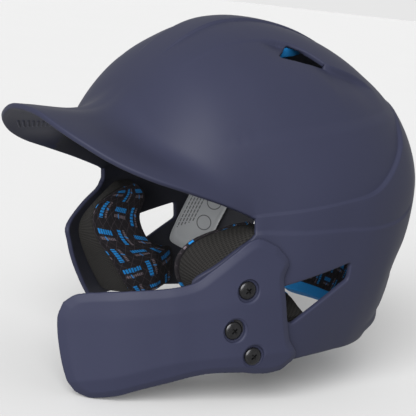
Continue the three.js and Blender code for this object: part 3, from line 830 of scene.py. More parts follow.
def shell_columns():
    """Every column of the upper shell as (signed plan angle, free edge or None at the back)."""
    temple = dome_point(TEMPLE_ANGLE, BELT)
    half = [*PEAK_EDGE, tuple(temple)]
    peak = Line([(-x, y, z) for x, y, z in reversed(half[1:])] + half)
    back = [180 - (180 - TEMPLE_ANGLE) * i / BACK_COLUMNS for i in range(BACK_COLUMNS)]
    front = [peak.at(i / PEAK_COLUMNS) for i in range(PEAK_COLUMNS + 1)]
    return (
        [(-angle, None) for angle in back]
        + [(plan_angle(edge), edge) for edge in front]
        + [(angle, None) for angle in reversed(back)]
    )


def flare(angle, edge):
    """The curve from the dome out to the peak's free edge."""
    share = min(abs(angle) / TEMPLE_ANGLE, 1.0)
    top = edge.z + PEAK_FILLET + (SIDE_FILLET - PEAK_FILLET) * share ** FILLET_GROWTH
    start = dome_point(angle, top)
    aim = (dome_point(angle, top - 0.5) - start).normalized()
    pitch = math.radians(PEAK_PITCH - (90 + PEAK_PITCH) * share ** 1.6)
    outwards = Vector((math.sin(math.radians(angle)), -math.cos(math.radians(angle)), 0))
    end_aim = outwards * math.cos(pitch) + Vector((0, 0, math.sin(pitch)))
    reach = (edge - start).length * FILLET_REACH
    knots = [start, start + aim * reach, edge - end_aim * reach, edge]

    def at(t):
        weights = ((1 - t) ** 3, 3 * t * (1 - t) ** 2, 3 * t * t * (1 - t), t ** 3)
        return sum((knot * weight for knot, weight in zip(knots, weights)), Vector())

    return top, at


def upper_column(angle, edge):
    """The points of one column, from the crown down to the free edge or to the belt."""
    if edge is None:
        top = BELT + SIDE_FILLET
        tail = [
            dome_point(angle, top - SIDE_FILLET * (row + 1) / FLARE_ROWS)
            for row in range(FLARE_ROWS)
        ]
    else:
        top, at = flare(angle, edge)
        tail = [at((row + 1) / FLARE_ROWS) for row in range(FLARE_ROWS)]
    share = crown_share(top)
    return [crown_point(angle, share * row / DOME_ROWS) for row in range(DOME_ROWS + 1)] + tail


def upper_sheet():
    spots = shell_columns()
    rows = DOME_ROWS + FLARE_ROWS
    columns = [upper_column(*spot) for spot in spots]
    columns.append(columns[0])
    count = len(columns) - 1
    return sheet(count, rows, lambda u, v: columns[round(u * count)][round(v * rows)])


def flap_sheet():
    """The shell below the belt, from the left flap's edge round the back to the right one's."""
    edge = Line(FLAP_EDGE)
    depth = FLAP_EDGE[-1][1] - BELT

    def place(across, down):
        angle = TEMPLE_ANGLE + (360 - 2 * TEMPLE_ANGLE) * across
        share = (min(angle, 360 - angle) - TEMPLE_ANGLE) / (180 - TEMPLE_ANGLE)
        edge_angle, edge_height = edge.at_point(down * (len(FLAP_EDGE) - 1))
        here = edge_angle + (180 - edge_angle) * share
        fall = (edge_height - BELT) / depth
        height = BELT + (look_up(LOWER_RIM, here) - BELT) * fall
        return dome_point(here if angle <= 180 else -here, height)

    return sheet(2 * BACK_COLUMNS, FLAP_ROWS, place)


def below_ledge(table, angle, height):
    """How far a point lies below a ledge, square to it. It is negative above the ledge."""
    slope = (look_up(table, angle + 1) - look_up(table, angle - 1)) / 2 / DEGREE_LENGTH
    return (look_up(table, angle) - height) / math.sqrt(1 + slope * slope)


def strip_gap(point):
    """How far a point of the crown lies outside the raised middle strip."""
    return abs(point.x) - look_up(STRIP_EDGE, point.y)


LEDGE_STEP = 0.9  # half height over which a ledge rises
BELT_AT_SIDES = 1.1
FLANGE = 1.2
STRIP_STEP = 1.2  # half width over which the crown strip falls
STRIP_FALL = 14
STRIP_DEEP = 3.4
STRIP_SHALLOW = 0.5
SPINE = 1.5
SPINE_EDGES = (13.6, 12.0)


def relief(point, ledge):
    """How far the outer face stands out at a point: its ledges, strip, scoops and recesses."""
    angle, height = abs(plan_angle(point)), point.z
    out = 0.0
    if angle > 60:
        fade = smooth(62, 70, angle)
        rise = smooth(104, 118, angle) * (1 - smooth(138, 150, angle))
        belt = BELT_AT_SIDES + (ledge - BELT_AT_SIDES) * rise
        below = below_ledge(BELT_LEDGE, angle, height)
        out += belt * fade * smooth(-LEDGE_STEP, LEDGE_STEP, below)
        flange = FLANGE * fade * (1 - smooth(128, 150, angle))
        below = below_ledge(FLANGE_LEDGE, angle, height)
        out += flange * smooth(-LEDGE_STEP, LEDGE_STEP, below)
    if angle > 124 and height < 0:
        behind = smooth(125, 141, angle) * (1 - 0.6 * smooth(162, 176, angle))
        out += behind * look_up(REAR_HOLLOW, height)
    if height > 50:
        gap = strip_gap(point)
        deep = smooth(0, 18, point.y) * (1 - smooth(66, 92, point.y))
        fall = math.exp(-((max(gap, 0) / STRIP_FALL) ** 2)) * smooth(-STRIP_STEP, STRIP_STEP, gap)
        shallow = smooth(-60, -40, point.y) * (1 - smooth(0, 16, point.y))
        out -= (STRIP_DEEP * deep + STRIP_SHALLOW * shallow) * fall
        spine = SPINE * smooth(-60, -30, point.y) * (1 - smooth(92, 112, point.y))
        out += spine * (smooth(*SPINE_EDGES, abs(point.x)) - 1)
    return out


LEDGE_BAND = 2.7
STRIP_BAND = 3.2


def needs_detail(point):
    """True beside a ledge, the crown strip, an ear vent or the folds of the back."""
    angle, height = abs(plan_angle(point)), point.z
    if angle > 62 and height < 66:
        if abs(below_ledge(BELT_LEDGE, angle, height)) < LEDGE_BAND:
            return True
        if abs(below_ledge(FLANGE_LEDGE, angle, height)) < LEDGE_BAND and angle < 152:
            return True
    if height > 62 and -62 < point.y < 96:
        if abs(strip_gap(point)) < STRIP_BAND or 10.5 < abs(point.x) < 15:
            return True
    if 128 < angle < 172 and (-66 < height < -46 or -98 < height < -86):
        return True
    return -29 < point.y < 34 and -70 < height < -33 and angle < 128


def corners_rounded(outline, radius, steps=3):
    """The outline with each corner replaced by a short curve."""
    points = [Vector(point) for point in outline]
    result = []
    for i, corner in enumerate(points):
        start = corner + (points[i - 1] - corner).normalized() * radius
        end = corner + (points[(i + 1) % len(points)] - corner).normalized() * radius
        for step in range(steps + 1):
            t = step / steps
            result.append(start * (1 - t) ** 2 + corner * 2 * t * (1 - t) + end * t * t)
    return result


def grown(outline, distance):
    """The outline moved outwards by a distance."""
    middle = sum(outline, Vector((0, 0))) / len(outline)
    result = []
    for i, point in enumerate(outline):
        along = outline[(i + 1) % len(outline)] - outline[i - 1]
        aside = Vector((along.y, -along.x)).normalized() * distance
        result.append(point + aside if aside.dot(point - middle) > 0 else point - aside)
    return result


def circle(middle, radius, steps=16):
    turns = [2 * math.pi * step / steps for step in range(steps)]
    return [middle + Vector((math.cos(t), math.sin(t))) * radius for t in turns]


def is_inside(outline, spot):
    inside = False
    for a, b in zip(outline, outline[1:] + outline[:1]):
        if (a.y > spot.y) != (b.y > spot.y):
            if spot.x < a.x + (b.x - a.x) * (spot.y - a.y) / (b.y - a.y):
                inside = not inside
    return inside


def gap_to_segment(spot, start, end):
    step = end - start
    share = min(max((spot - start).dot(step) / step.length_squared, 0.0), 1.0)
    return (spot - start - step * share).length


def cut_window(bm, outline, axes, belongs):
    """Cuts an outline through the sheet, seen along the axis that is not in axes."""
    first, second = axes

    def flat(point):
        return Vector((point[first], point[second]))

    middle = sum(outline, Vector((0, 0))) / len(outline)
    reach = max((point - middle).length for point in outline) + 8
    patch = {
        face for face in bm.faces
        if belongs(face.calc_center_median())
        and (flat(face.calc_center_median()) - middle).length < reach
    }
    for start, end in zip(outline, outline[1:] + outline[:1]):
        near = [f for f in patch if gap_to_segment(flat(f.calc_center_median()), start, end) < 4.2]
        normal, origin = Vector((0, 0, 0)), Vector((0, 0, 0))
        normal[first], normal[second] = -(end - start).y, (end - start).x
        origin[first], origin[second] = start
        around = {item for face in near for item in (*face.edges, *face.verts)}
        cut = bmesh.ops.bisect_plane(
            bm, geom=[*near, *around], dist=0.02, plane_co=origin, plane_no=normal.normalized()
        )
        patch = {face for face in patch if face.is_valid}
        patch |= {item for item in cut["geom"] if isinstance(item, bmesh.types.BMFace)}
    inner = [face for face in patch if is_inside(outline, flat(face.calc_center_median()))]
    if not inner:
        raise RuntimeError("a window missed the shell")
    bmesh.ops.delete(bm, geom=inner, context="FACES")
    patch = [face for face in patch if face.is_valid]
    tidy_rim(bm, {vert for face in patch for vert in face.verts}, outline, flat)


def tidy_rim(bm, verts, outline, flat):
    """Welds slivers beside a new rim and evens out the faces next to it."""
    pairs = list(zip(outline, outline[1:] + outline[:1]))

    def gap(vert):
        return min(gap_to_segment(flat(vert.co), start, end) for start, end in pairs)

    rim = [vert for vert in verts if vert.is_boundary and gap(vert) < 0.3]
    bmesh.ops.remove_doubles(bm, verts=rim, dist=0.55)
    rim = [vert for vert in rim if vert.is_valid]
    tree = KDTree(len(rim))
    for i, vert in enumerate(rim):
        tree.insert(vert.co, i)
    tree.balance()
    onto = {}
    for vert in verts:
        if vert.is_valid and not vert.is_boundary:
            _, i, distance = tree.find(vert.co)
            if distance < 0.7:
                onto[vert] = rim[i]
    bmesh.ops.weld_verts(bm, targetmap=onto)
    short = {edge for vert in verts if vert.is_valid for edge in vert.link_edges}
    bmesh.ops.dissolve_degenerate(bm, dist=0.3, edges=list(short))
    loose = [vert for vert in verts if vert.is_valid and not vert.is_boundary]
    relax(bm, [vert for vert in loose if gap(vert) < 4.0], 2)


def through_shell(origin):
    """How far along a screw's axis from its origin the shell's outer face lies."""
    distance = 0.0
    while distance > -60:
        point = origin + SCREW_AXIS * distance
        face = dome_point(plan_angle(point), point.z)
        if point.xy.length < face.xy.length:
            return distance
        distance -= 0.05
    raise RuntimeError("a screw missed the shell")


def cut_openings(bm, rim):
    """Cuts every opening, larger by the rim that will close in on it."""
    side_axes, top_axes, back_axes = (1, 2), (0, 1), (0, 2)
    for sign in (1, -1):
        ear = grown(corners_rounded(EAR_VENT, 2.2), rim)
        cut_window(bm, ear, side_axes, lambda p: p.x * sign > 60)
        scoop = grown(corners_rounded([(x * sign, y) for x, y in SCOOP_VENT], 1.6), rim)
        cut_window(bm, scoop, top_axes, lambda p: p.z > 60)
        back = grown(corners_rounded([(x * sign, z) for x, z in BACK_VENT], 1.8), rim)
        cut_window(bm, back, back_axes, lambda p: p.y > 40)
    for _, y, height in SCREWS:
        origin = guard_point(y, height)
        hole = origin + SCREW_AXIS * through_shell(origin)
        ring = circle(Vector((hole.y, hole.z)), SHELL_HOLE_RADIUS + rim)
        cut_window(bm, ring, side_axes, lambda p: p.x > 60)


def edge_aims(bm):
    """For each vertex of a free edge, the direction in the sheet that leads off the edge."""
    aims = {}
    for edge in bm.edges:
        if edge.is_boundary:
            face = edge.link_faces[0]
            a, b = edge.verts
            aim = (b.co - a.co).cross(face.normal).normalized()
            if aim.dot((a.co + b.co) / 2 - face.calc_center_median()) < 0:
                aim.negate()
            for vert in (a, b):
                aims[vert] = aims.get(vert, Vector()) + aim
    for _ in range(3):
        aims = {
            vert: aim.normalized() + sum((
                aims[edge.other_vert(vert)].normalized()
                for edge in vert.link_edges if edge.is_boundary
            ), Vector())
            for vert, aim in aims.items()
        }
    return {vert: aim.normalized() for vert, aim in aims.items()}


def pull_in(bm, distance):
    """Draws every free edge back into its sheet, to make room for a rounded rim."""
    bm.normal_update()
    aims = edge_aims(bm)
    for vert, aim in aims.items():
        vert.co -= aim * distance
    rings = {vert for first in aims for edge in first.link_edges for vert in edge.verts}
    rings = {vert for first in rings for edge in first.link_edges for vert in edge.verts}
    relax(bm, rings - set(aims), 2)


def relax(bm, verts, rounds):
    """Evens out the spacing of some vertices."""
    for _ in range(rounds):
        bmesh.ops.smooth_vert(
            bm, verts=list(verts), factor=0.5, use_axis_x=True, use_axis_y=True, use_axis_z=True
        )


def calm(bm):
    """Smooths the few vertices whose faces are too thin to be offset."""
    for _ in range(12):
        bm.normal_update()
        rough = [vert for vert in bm.verts if vert.calc_shell_factor() > 1.25]
        if not rough:
            return
        relax(bm, rough, 1)


RIM_CUTS = 7


def thickened(bm, thickness, rim):
    """Gives an open sheet its wall and a rounded rim. The inner faces get material 1."""
    bm.verts.layers.float.new("turn")
    for name in ("lead", "through"):
        bm.verts.layers.float_vector.new(name)
    turn = bm.verts.layers.float["turn"]
    lead, through = (bm.verts.layers.float_vector[name] for name in ("lead", "through"))
    bm.normal_update()
    aims = edge_aims(bm)
    made = bmesh.ops.solidify(bm, geom=bm.faces[:], thickness=thickness)["geom"]
    new_verts = {item for item in made if isinstance(item, bmesh.types.BMVert)}
    for item in made:
        if isinstance(item, bmesh.types.BMFace):
            item.material_index = 1
    across = []
    for vert, aim in aims.items():
        for edge in vert.link_edges:
            other = edge.other_vert(vert)
            if other in new_verts:
                across.append(edge)
                vert[lead] = other[lead] = aim
                vert[through] = other[through] = other.co - vert.co
                other[turn] = 1.0
    made = bmesh.ops.subdivide_edges(bm, edges=across, cuts=RIM_CUTS, use_grid_fill=True)
    for vert in made["geom_inner"]:
        if isinstance(vert, bmesh.types.BMVert):
            now = vert[turn]
            step = min(now, 1 - now) * (RIM_CUTS + 1)
            angle = math.radians(30) * min(step, 3)
            share = rim * (1 - math.cos(angle)) / thickness if step < 3.5 else 0.5
            share = share if now < 0.5 else 1 - share
            vert.co += vert[lead] * rim * math.sin(angle) + vert[through] * (share - now)
    bm.verts.layers.float.remove(bm.verts.layers.float["turn"])
    for name in ("lead", "through"):
        bm.verts.layers.float_vector.remove(bm.verts.layers.float_vector[name])
    return bm


def make_shell(sizes):
    bm = joined(upper_sheet(), flap_sheet())
    bmesh.ops.remove_doubles(bm, verts=bm.verts[:], dist=0.01)
    bmesh.ops.recalc_face_normals(bm, faces=bm.faces[:])
    crown = max(bm.faces, key=lambda face: face.calc_center_median().z)
    if crown.normal.z < 0:
        bmesh.ops.reverse_faces(bm, faces=bm.faces[:])
    rim = sizes.rim / MM
    pull_in(bm, rim)
    fine = [face for face in bm.faces if needs_detail(face.calc_center_median())]
    edges = {edge for face in fine for edge in face.edges}
    bmesh.ops.subdivide_edges(bm, edges=list(edges), cuts=FINE_CUTS, use_grid_fill=True)
    cut_openings(bm, rim)
    bm.normal_update()
    for vert in bm.verts:
        vert.co += vert.normal * relief(vert.co, sizes.ledge / MM)
    calm(bm)
    thickened(bm, WALL, rim)
    # The inner faces keep material 1, whose colour is darkened as painted shade, except under the
    # peak, which gets the navy paint.
    for face in bm.faces:
        middle = face.calc_center_median()
        if middle.y < PEAK_PAINT_END and middle.z > 18:
            face.material_index = 0
    return piece("helmet_shell", bm, ("navy_paint", "inside_plastic_with_painted_shade"), ("shell",))


PEAK_PAINT_END = -80  # the paint goes round the peak's edge and this far back
PEAK_RIBS = 8
RIB_FROM, RIB_TO = 47, 66  # half widths of the peak's edge between which the ribs run
RIB_FIRST = 0.86
RIB_PITCH = 0.05
RIB_WIDTH = 0.019
RIB_HEIGHT = 1.1


def make_peak_ribs():
    """Rows of short ribs moulded under the two sides of the peak."""
    spots = [spot for spot in shell_columns() if spot[1] is not None]
    whole = bmesh.new()
    for sign in (1, -1):
        fan = [flare(*spot)[1] for spot in spots if RIB_FROM < spot[1].x * sign < RIB_TO]
        for i in range(PEAK_RIBS):
            rib = bmesh.new()
            bmesh.ops.create_cube(rib, size=2)
            bmesh.ops.subdivide_edges(rib, edges=rib.edges[:], cuts=6, use_grid_fill=True)
            for vert in rib.verts:
                a, b, c = vert.co
                place = (a + 1) / 2 * (len(fan) - 1.001)
                share = RIB_FIRST - RIB_PITCH * i + RIB_WIDTH * b
                first, second = fan[int(place)], fan[int(place) + 1]
                face = first(share).lerp(second(share), place % 1)
                along = first(share + 0.01) - first(share - 0.01)
                down = along.cross(second(share) - first(share)).normalized()
                down *= -1 if down.z > 0 else 1
                lift = RIB_HEIGHT * math.sqrt(max(0.0, 1 - a ** 6)) * math.cos(b * 1.3)
                vert.co = face + down * (WALL - 0.5 + lift * (c + 1) / 2)
            joined(whole, rib)
    bmesh.ops.recalc_face_normals(whole, faces=whole.faces[:])
    return piece("peak_ribs", whole, ("navy_paint",))


# ---- Jaw guard ---------------------------------------------------------------------------------

def guard_point(y, height):
    lean = max(0.0, GUARD_MIDDLE - height) * GUARD_TUCK
    return Vector((look_up(GUARD_PLAN, y) - lean, y, height))


def guard_sides():
    return [Line(side) for side in (GUARD_TOP, GUARD_BOTTOM, GUARD_FRONT, GUARD_REAR)]


def guard_flat(sides, across, down):
    """A point of the guard's outline patch as (y, height): its four sides blended."""
    top, bottom, front, rear = sides
    ends = (1 - across) * ((1 - down) * top.at(0) + down * bottom.at(0))
    ends += across * ((1 - down) * top.at(1) + down * bottom.at(1))
    return (
        (1 - down) * top.at(across) + down * bottom.at(across)
        + (1 - across) * front.at(down) + across * rear.at(down) - ends
    )


def crowded(share):
    """Draws the rows of a sheet together towards its two ends."""
    return share - 0.5 * math.sin(2 * math.pi * share) / (2 * math.pi)


def guard_relief(spot, gap, chamfer):
    """How far the guard's face stands out: its folds and its sloping border."""
    y, height = spot
    above = max(0.0, height - look_up(UPPER_FOLD, y))
    below = max(0.0, look_up(LOWER_FOLD, y) - height)
    border = max(0.0, 1 - gap / chamfer)
    return -0.05 * above - 0.2 * below - 1.5 * border ** 1.25


def screw_heads():
    return [(name, guard_point(y, height)) for name, y, height in SCREWS]


def well_cutter(origin):
    """The hollow round a screw head, with a soft mouth, and the hole behind it."""
    profile = [
        (0, -12), (GUARD_HOLE_RADIUS, -12), (GUARD_HOLE_RADIUS, -WELL_DEPTH),
        (WELL_RADIUS - 0.4, -WELL_DEPTH), (WELL_RADIUS, 0.4 - WELL_DEPTH), (WELL_RADIUS, -1.0),
        (WELL_RADIUS + 0.25, -0.5), (WELL_RADIUS + 0.75, -0.15), (WELL_RADIUS + 1.5, 0.05),
        (WELL_RADIUS + 1.5, 6), (0, 6),
    ]
    return on_screw(turned(profile), origin)


def make_guard(sizes):
    sides = guard_sides()
    marks = [side.at(i / 120) for side in sides for i in range(121)]
    tree = KDTree(len(marks))
    for i, mark in enumerate(marks):
        tree.insert((*mark, 0), i)
    tree.balance()

    low, high = ([pick(mark[axis] for mark in marks) for axis in (0, 1)] for pick in (min, max))
    middle = [(a + b) / 2 for a, b in zip(low, high)]
    room = [1 - 2 * GUARD_RIM / (b - a) for a, b in zip(low, high)]

    def place(across, down):
        spot = guard_flat(sides, crowded(across), crowded(down))
        gap = tree.find((*spot, 0))[2]
        spot = Vector((a + (b - a) * shrink for a, b, shrink in zip(middle, spot, room)))
        point = guard_point(*spot)
        slope = look_up(GUARD_PLAN, spot.x + 0.5) - look_up(GUARD_PLAN, spot.x - 0.5)
        outwards = Vector((1, -slope, 0)).normalized()
        return point + outwards * guard_relief(spot, gap, sizes.chamfer / MM)

    bm = sheet(120, 72, place)
    bmesh.ops.recalc_face_normals(bm, faces=bm.faces[:])
    if sum(face.normal.x for face in bm.faces) < 0:
        bmesh.ops.reverse_faces(bm, faces=bm.faces[:])
    thickened(bm, GUARD_WALL - 1.2, GUARD_RIM)
    for face in bm.faces:
        face.material_index = 0
    name = "jaw_guard_plate"
    obj = piece(name, bm, ("guard_paint",), ("jaw_guard",))
    carve(obj, [well_cutter(origin) for _, origin in screw_heads()])
    return obj


# ---- Fasteners ---------------------------------------------------------------------------------

def cross_cutters(origin):
    """The two tapered arms of a Phillips recess."""
    arms = []
    for turn in (0.5, 0.5 + math.pi / 2):
        arm = bmesh.new()
        bmesh.ops.create_cube(arm, size=1)
        for vert in arm.verts:
            high = vert.co.z > 0
            vert.co = Vector((
                vert.co.x * (6.2 if high else 2.4),
                vert.co.y * (1.35 if high else 0.9),
                HEAD_HEIGHT + 1.5 if high else HEAD_HEIGHT - 2.1,
            ))
        bmesh.ops.rotate(arm, matrix=Matrix.Rotation(turn, 3, "Z"), verts=arm.verts[:])
        arms.append(on_screw(arm, origin + SCREW_AXIS * (FIT - WELL_DEPTH)))
    return arms


def make_screw(name, origin, inner_face):
    seat = FIT - WELL_DEPTH
    end = inner_face - NUT_FLANGE - FIT
    top = seat + HEAD_HEIGHT
    dome = [
        (HEAD_RADIUS * math.cos(t), seat + 0.5 + (HEAD_HEIGHT - 0.5) * math.sin(t))
        for t in (math.radians(step * 9) for step in range(10))
    ]
    profile = [(0, end), (SHANK_RADIUS - 0.4, end), (SHANK_RADIUS, end + 0.5)]
    profile += [(SHANK_RADIUS, seat), (HEAD_RADIUS - 0.2, seat), (HEAD_RADIUS, seat + 0.2)]
    profile += [*dome[:-1], (0, top)]
    bm = on_screw(turned(profile, 64), origin)
    obj = piece(
        f"jaw_screw_{name}_head", bm, ("black_steel",), (f"jaw_screw_{name}",), 32
    )
    carve(obj, cross_cutters(origin))
    return obj


def make_spacer(name, origin, outer_face):
    """A rubber tube between the guard's back and the shell, with rounded ends."""
    high, low = -GUARD_WALL + 0.6, outer_face + 0.1
    hole, edge = SHANK_RADIUS + FIT, 0.6
    profile = [
        (hole, low), (SPACER_RADIUS - edge, low), (SPACER_RADIUS, low + edge),
        (SPACER_RADIUS, high - edge), (SPACER_RADIUS - edge, high), (hole, high), (hole, low),
    ]
    bm = on_screw(turned(profile), origin)
    return piece(f"rubber_spacer_{name}", bm, ("rubber",), (f"spacer_{name}",))


def make_nut(name, origin, inner_face, outer_face):
    """A tee nut: a flange on the inside of the ear flap and a barrel in the hole."""
    back = inner_face - NUT_FLANGE
    profile = [
        (NUT_BORE_RADIUS, back + 0.3), (NUT_BORE_RADIUS + 0.3, back),
        (NUT_FLANGE_RADIUS - 0.4, back), (NUT_FLANGE_RADIUS, back + 0.4),
        (NUT_FLANGE_RADIUS, inner_face), (NUT_BARREL_RADIUS, inner_face),
        (NUT_BARREL_RADIUS, outer_face), (NUT_BORE_RADIUS, outer_face),
        (NUT_BORE_RADIUS, back + 0.3),
    ]
    bm = on_screw(turned(profile), origin)
    return piece(f"flanged_nut_{name}", bm, ("zinc",), (f"tee_nut_{name}",))


# ---- Padding -----------------------------------------------------------------------------------

def cushion(name, at, size, power=5.0, cuts=24, crown=0.0, grooves=(), roll=0.9):
    """A closed, crowned block. at(u, v, t) is its place: t runs from 0 at the face to 1 at the back.

    size is its (width, height, thickness). power says how square its outline is. grooves are
    sewn channels, as (axis, place, width, depth).
    """
    bm = bmesh.new()
    bmesh.ops.create_cube(bm, size=2)
    bmesh.ops.subdivide_edges(bm, edges=bm.edges[:], cuts=cuts, use_grid_fill=True)
    cloth = bm.verts.layers.float_vector.new("cloth")
    width, tall, thick = size
    for vert in bm.verts:
        a, b, c = (0.55 * q + 0.45 * math.sin(q * math.pi / 2) for q in vert.co)
        reach = max(abs(a), abs(b))
        total = (abs(a) ** power + abs(b) ** power) ** (1 / power)
        squeeze = reach / total if total else 1.0
        a, b = a * squeeze, b * squeeze
        bulge = 1 - abs(c) ** 5
        u = 0.5 + a * (0.5 - roll / width * (1 - bulge))
        v = 0.5 + b * (0.5 - roll / tall * (1 - bulge))
        face = max(0.0, -c)
        drop = crown * reach ** 4 * face
        seam = 0.5 * math.exp(-(((reach - 0.9) / 0.035) ** 2)) * face
        sewn = 0.0
        for axis, middle, wide, deep in grooves:
            gap = (a, b)[axis] - middle
            sewn += deep * math.exp(-((gap / wide) ** 2)) * face * smooth(0.98, 0.8, reach)
        depth = (c + 1) / 2 * thick + drop + seam + sewn
        vert.co = at(u, v, min(depth / thick, 1.0))
        side = smooth(0.9, 1.0, reach) * (vert.co - at(u, v, 0)).length
        spread = Vector((a, b)).normalized() * side if reach > 0.5 else Vector((0, 0))
        vert[cloth] = Vector((u * width + spread.x, v * tall + spread.y, c))
    bmesh.ops.recalc_face_normals(bm, faces=bm.faces[:])
    return bm


def soft_piece(name, bm, finish, replaces):
    obj = piece(name, bm, (finish,), replaces, 80)
    rounder = obj.modifiers.new("round", "SUBSURF")
    rounder.levels = 1
    rounder.render_levels = 1
    return obj


def lining_block(first, last, low, high, depth, thickness):
    """at(u, v, t) for a block that follows the shell between two plan angles and two heights."""

    def at(u, v, t):
        angle = first + (last - first) * u
        return under_face(angle, high + (low - high) * v, depth + thickness * (1 - t))

    middle = (low + high) / 2
    reach = plan_radius((first + last) / 2) * (0.8 if middle > 60 else 1.0)
    return at, (abs(last - first) * math.radians(1) * reach, high - low, thickness)


def make_lining(name, first, last, low, high, foam_thick, foam_low, sizes):
    """One stuck-in pad: a foam layer and a printed comfort layer with sewn channels."""
    at, size = lining_block(first + 1, last - 1, foam_low, high - 1, FOAM_AT, foam_thick)
    bm = cushion(name, at, size, power=7, cuts=18, crown=0.5, roll=0.5)
    soft_piece(f"{name}_blue_foam", bm, "blue_foam", (f"{name}_foam",))
    at, size = lining_block(first, last, low + 1, high, FOAM_AT + foam_thick + LAYER_GAP, PAD)
    channels = [(0, place, 0.035, 1.5) for place in (-0.5, 0.0, 0.5)]
    bm = cushion(
        name, at, size, power=6, cuts=26, crown=sizes.crown / MM, grooves=channels, roll=1.2
    )
    soft_piece(f"{name}_comfort_pad", bm, "printed_knit", (f"{name}_pad",))


def cheek_face(y, height):
    bend = -48
    level = height if height > bend else bend + 0.15 * (height - bend)
    return 71.7 + 0.175 * y + 0.39 * level + 0.5 * max(0.0, y + 20)


def make_ear_pads(sizes):
    lines = [Line(side) for side in (EAR_FACE_FRONT, EAR_FACE_REAR, EAR_BACK_FRONT, EAR_BACK_REAR)]
    face_front, face_rear, back_front, back_rear = lines
    mesh_at = LINER + 2 * LAYER_GAP

    def face(u, v, depth):
        y, height = face_front.at(v).lerp(face_rear.at(v), u)
        return Vector((cheek_face(y, height) + depth, y, height))

    def back(u, v):
        y, height = back_front.at(v).lerp(back_rear.at(v), u)
        return side_point(y, height, EAR_PAD_AT - EAR_PAD_FOOT)

    def block_at(u, v, t):
        return face(u, v, mesh_at - 0.8).lerp(back(u, v), t)

    def liner_at(u, v, t):
        return face(u, v, LINER * t)

    for sign, word in ((1, "left"), (-1, "right")):
        block = cushion("ear", block_at, (46, 72, 22), 14, 26, 0.3, roll=1.0)
        liner = cushion(
            "liner", liner_at, (46, 72, LINER), 11, 26, sizes.crown / MM,
            ((1, 0.05, 0.03, 0.9),), 0.7,
        )
        for bm in (block, liner):
            if sign < 0:
                bmesh.ops.scale(bm, vec=(-1, 1, 1), verts=bm.verts[:])
                bmesh.ops.recalc_face_normals(bm, faces=bm.faces[:])
        soft_piece(
            f"ear_{word}_mesh_block", block, "spacer_mesh", (f"ear_{word}_pad",)
        )
        soft_piece(
            f"ear_{word}_cheek_liner", liner, "printed_knit",
            (f"ear_{word}_liner",),
        )


def crown_top(x, y):
    """Height of the dome's outer face over a point of the crown."""
    length = FRONT_LENGTH if y < 0 else BACK_LENGTH
    scale = (abs(x) / HALF_WIDTH) ** PLAN_POWER + (abs(y) / length) ** PLAN_POWER
    return CROWN_HEIGHT * (1 - scale ** (PROFILE_POWER / PLAN_POWER)) ** (1 / PROFILE_POWER)


def make_crown_pads(sizes):
    def pad_at(u, v, t):
        x, y = CROWN_RADIUS * (2 * u - 1), CROWN_RADIUS * (1 - 2 * v)
        back = crown_top(x, y) - FOAM_AT - FOAM - LAYER_GAP - 3
        return Vector((x, y, CROWN_FLAT + (back - CROWN_FLAT) * t))

    def foam_at(u, v, t):
        a, b = 2 * u - 1, 1 - 2 * v
        angle = math.degrees(math.atan2(a, -b)) if a or b else 0.0
        height = crown_point(angle, CROWN_REACH * math.hypot(a, b)).z
        return under_face(angle, height, FOAM_AT + FOAM * (1 - t))

    channels = [(axis, place, 0.04, 1.4) for axis in (0, 1) for place in (-0.33, 0.33)]
    size = (2 * CROWN_RADIUS, 2 * CROWN_RADIUS, 15)
    pad = cushion("crown", pad_at, size, 2, 28, sizes.crown / MM, channels, 1.2)
    soft_piece("crown_comfort_pad", pad, "printed_knit", ("crown_pad",))
    block = cushion("foam", foam_at, (110, 110, FOAM), 2, 20, 0.4, roll=0.4)
    soft_piece("crown_blue_foam", block, "blue_foam", ("crown_foam",))


def make_label():
    def at(u, v, t):
        y, height = LABEL_CORNER + LABEL_LONG * (1 - v) + LABEL_WIDE * u
        point = side_point(y, height, LABEL_AT + LABEL * (1 - t))
        return Vector((-point.x, point.y, point.z))

    size = (LABEL_WIDE.length, LABEL_LONG.length, LABEL)
    bm = cushion("label", at, size, 9, 22, 0.0, roll=0.02)
    return piece("care_sticker", bm, ("label_film",), ("care_label",))


# ---- Operators ---------------------------------------------------------------------------------

class HELMET_OT_shell(bpy.types.Operator):
    """Mould the shell, with its peak, ledges, vents and the ribs under the peak"""

    bl_idname = "helmet.shell"
    bl_label = "Shell"

    def execute(self, context):
        make_shell(context.scene.helmet_sizes)
        make_peak_ribs()
        return {"FINISHED"}


class HELMET_OT_guard(bpy.types.Operator):
    """Mould the jaw guard, with its folds, border and screw wells"""

    bl_idname = "helmet.guard"
    bl_label = "Jaw guard"

    def execute(self, context):
        make_guard(context.scene.helmet_sizes)
        return {"FINISHED"}


class HELMET_OT_fasteners(bpy.types.Operator):
    """Make the three screws with their rubber spacers and flanged nuts"""

    bl_idname = "helmet.fasteners"
    bl_label = "Fasteners"

    def execute(self, context):
        for name, origin in screw_heads():
            outer_face = through_shell(origin)
            inner_face = outer_face - WALL * 1.1 - 1.2
            make_screw(name, origin, inner_face)
            make_spacer(name, origin, outer_face)
            make_nut(name, origin, inner_face, outer_face - FIT)
        return {"FINISHED"}


class HELMET_OT_ear_pads(bpy.types.Operator):
    """Make the two ear pads: mesh-walled foam blocks with printed cheek liners"""

    bl_idname = "helmet.ear_pads"
    bl_label = "Ear pads"

    def execute(self, context):
        make_ear_pads(context.scene.helmet_sizes)
        return {"FINISHED"}


class HELMET_OT_linings(bpy.types.Operator):
    """Make the stuck-in linings at the brow, nape, rear and sides, and finish their tabs"""

    bl_idname = "helmet.linings"
    bl_label = "Linings"

    def execute(self, context):
        for lining in LININGS:
            make_lining(*lining, context.scene.helmet_sizes)
            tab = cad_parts[f"{lining[0]}_tab"]
            tab.data.materials.clear()
            tab.data.materials.append(material("hook_tape"))
        return {"FINISHED"}


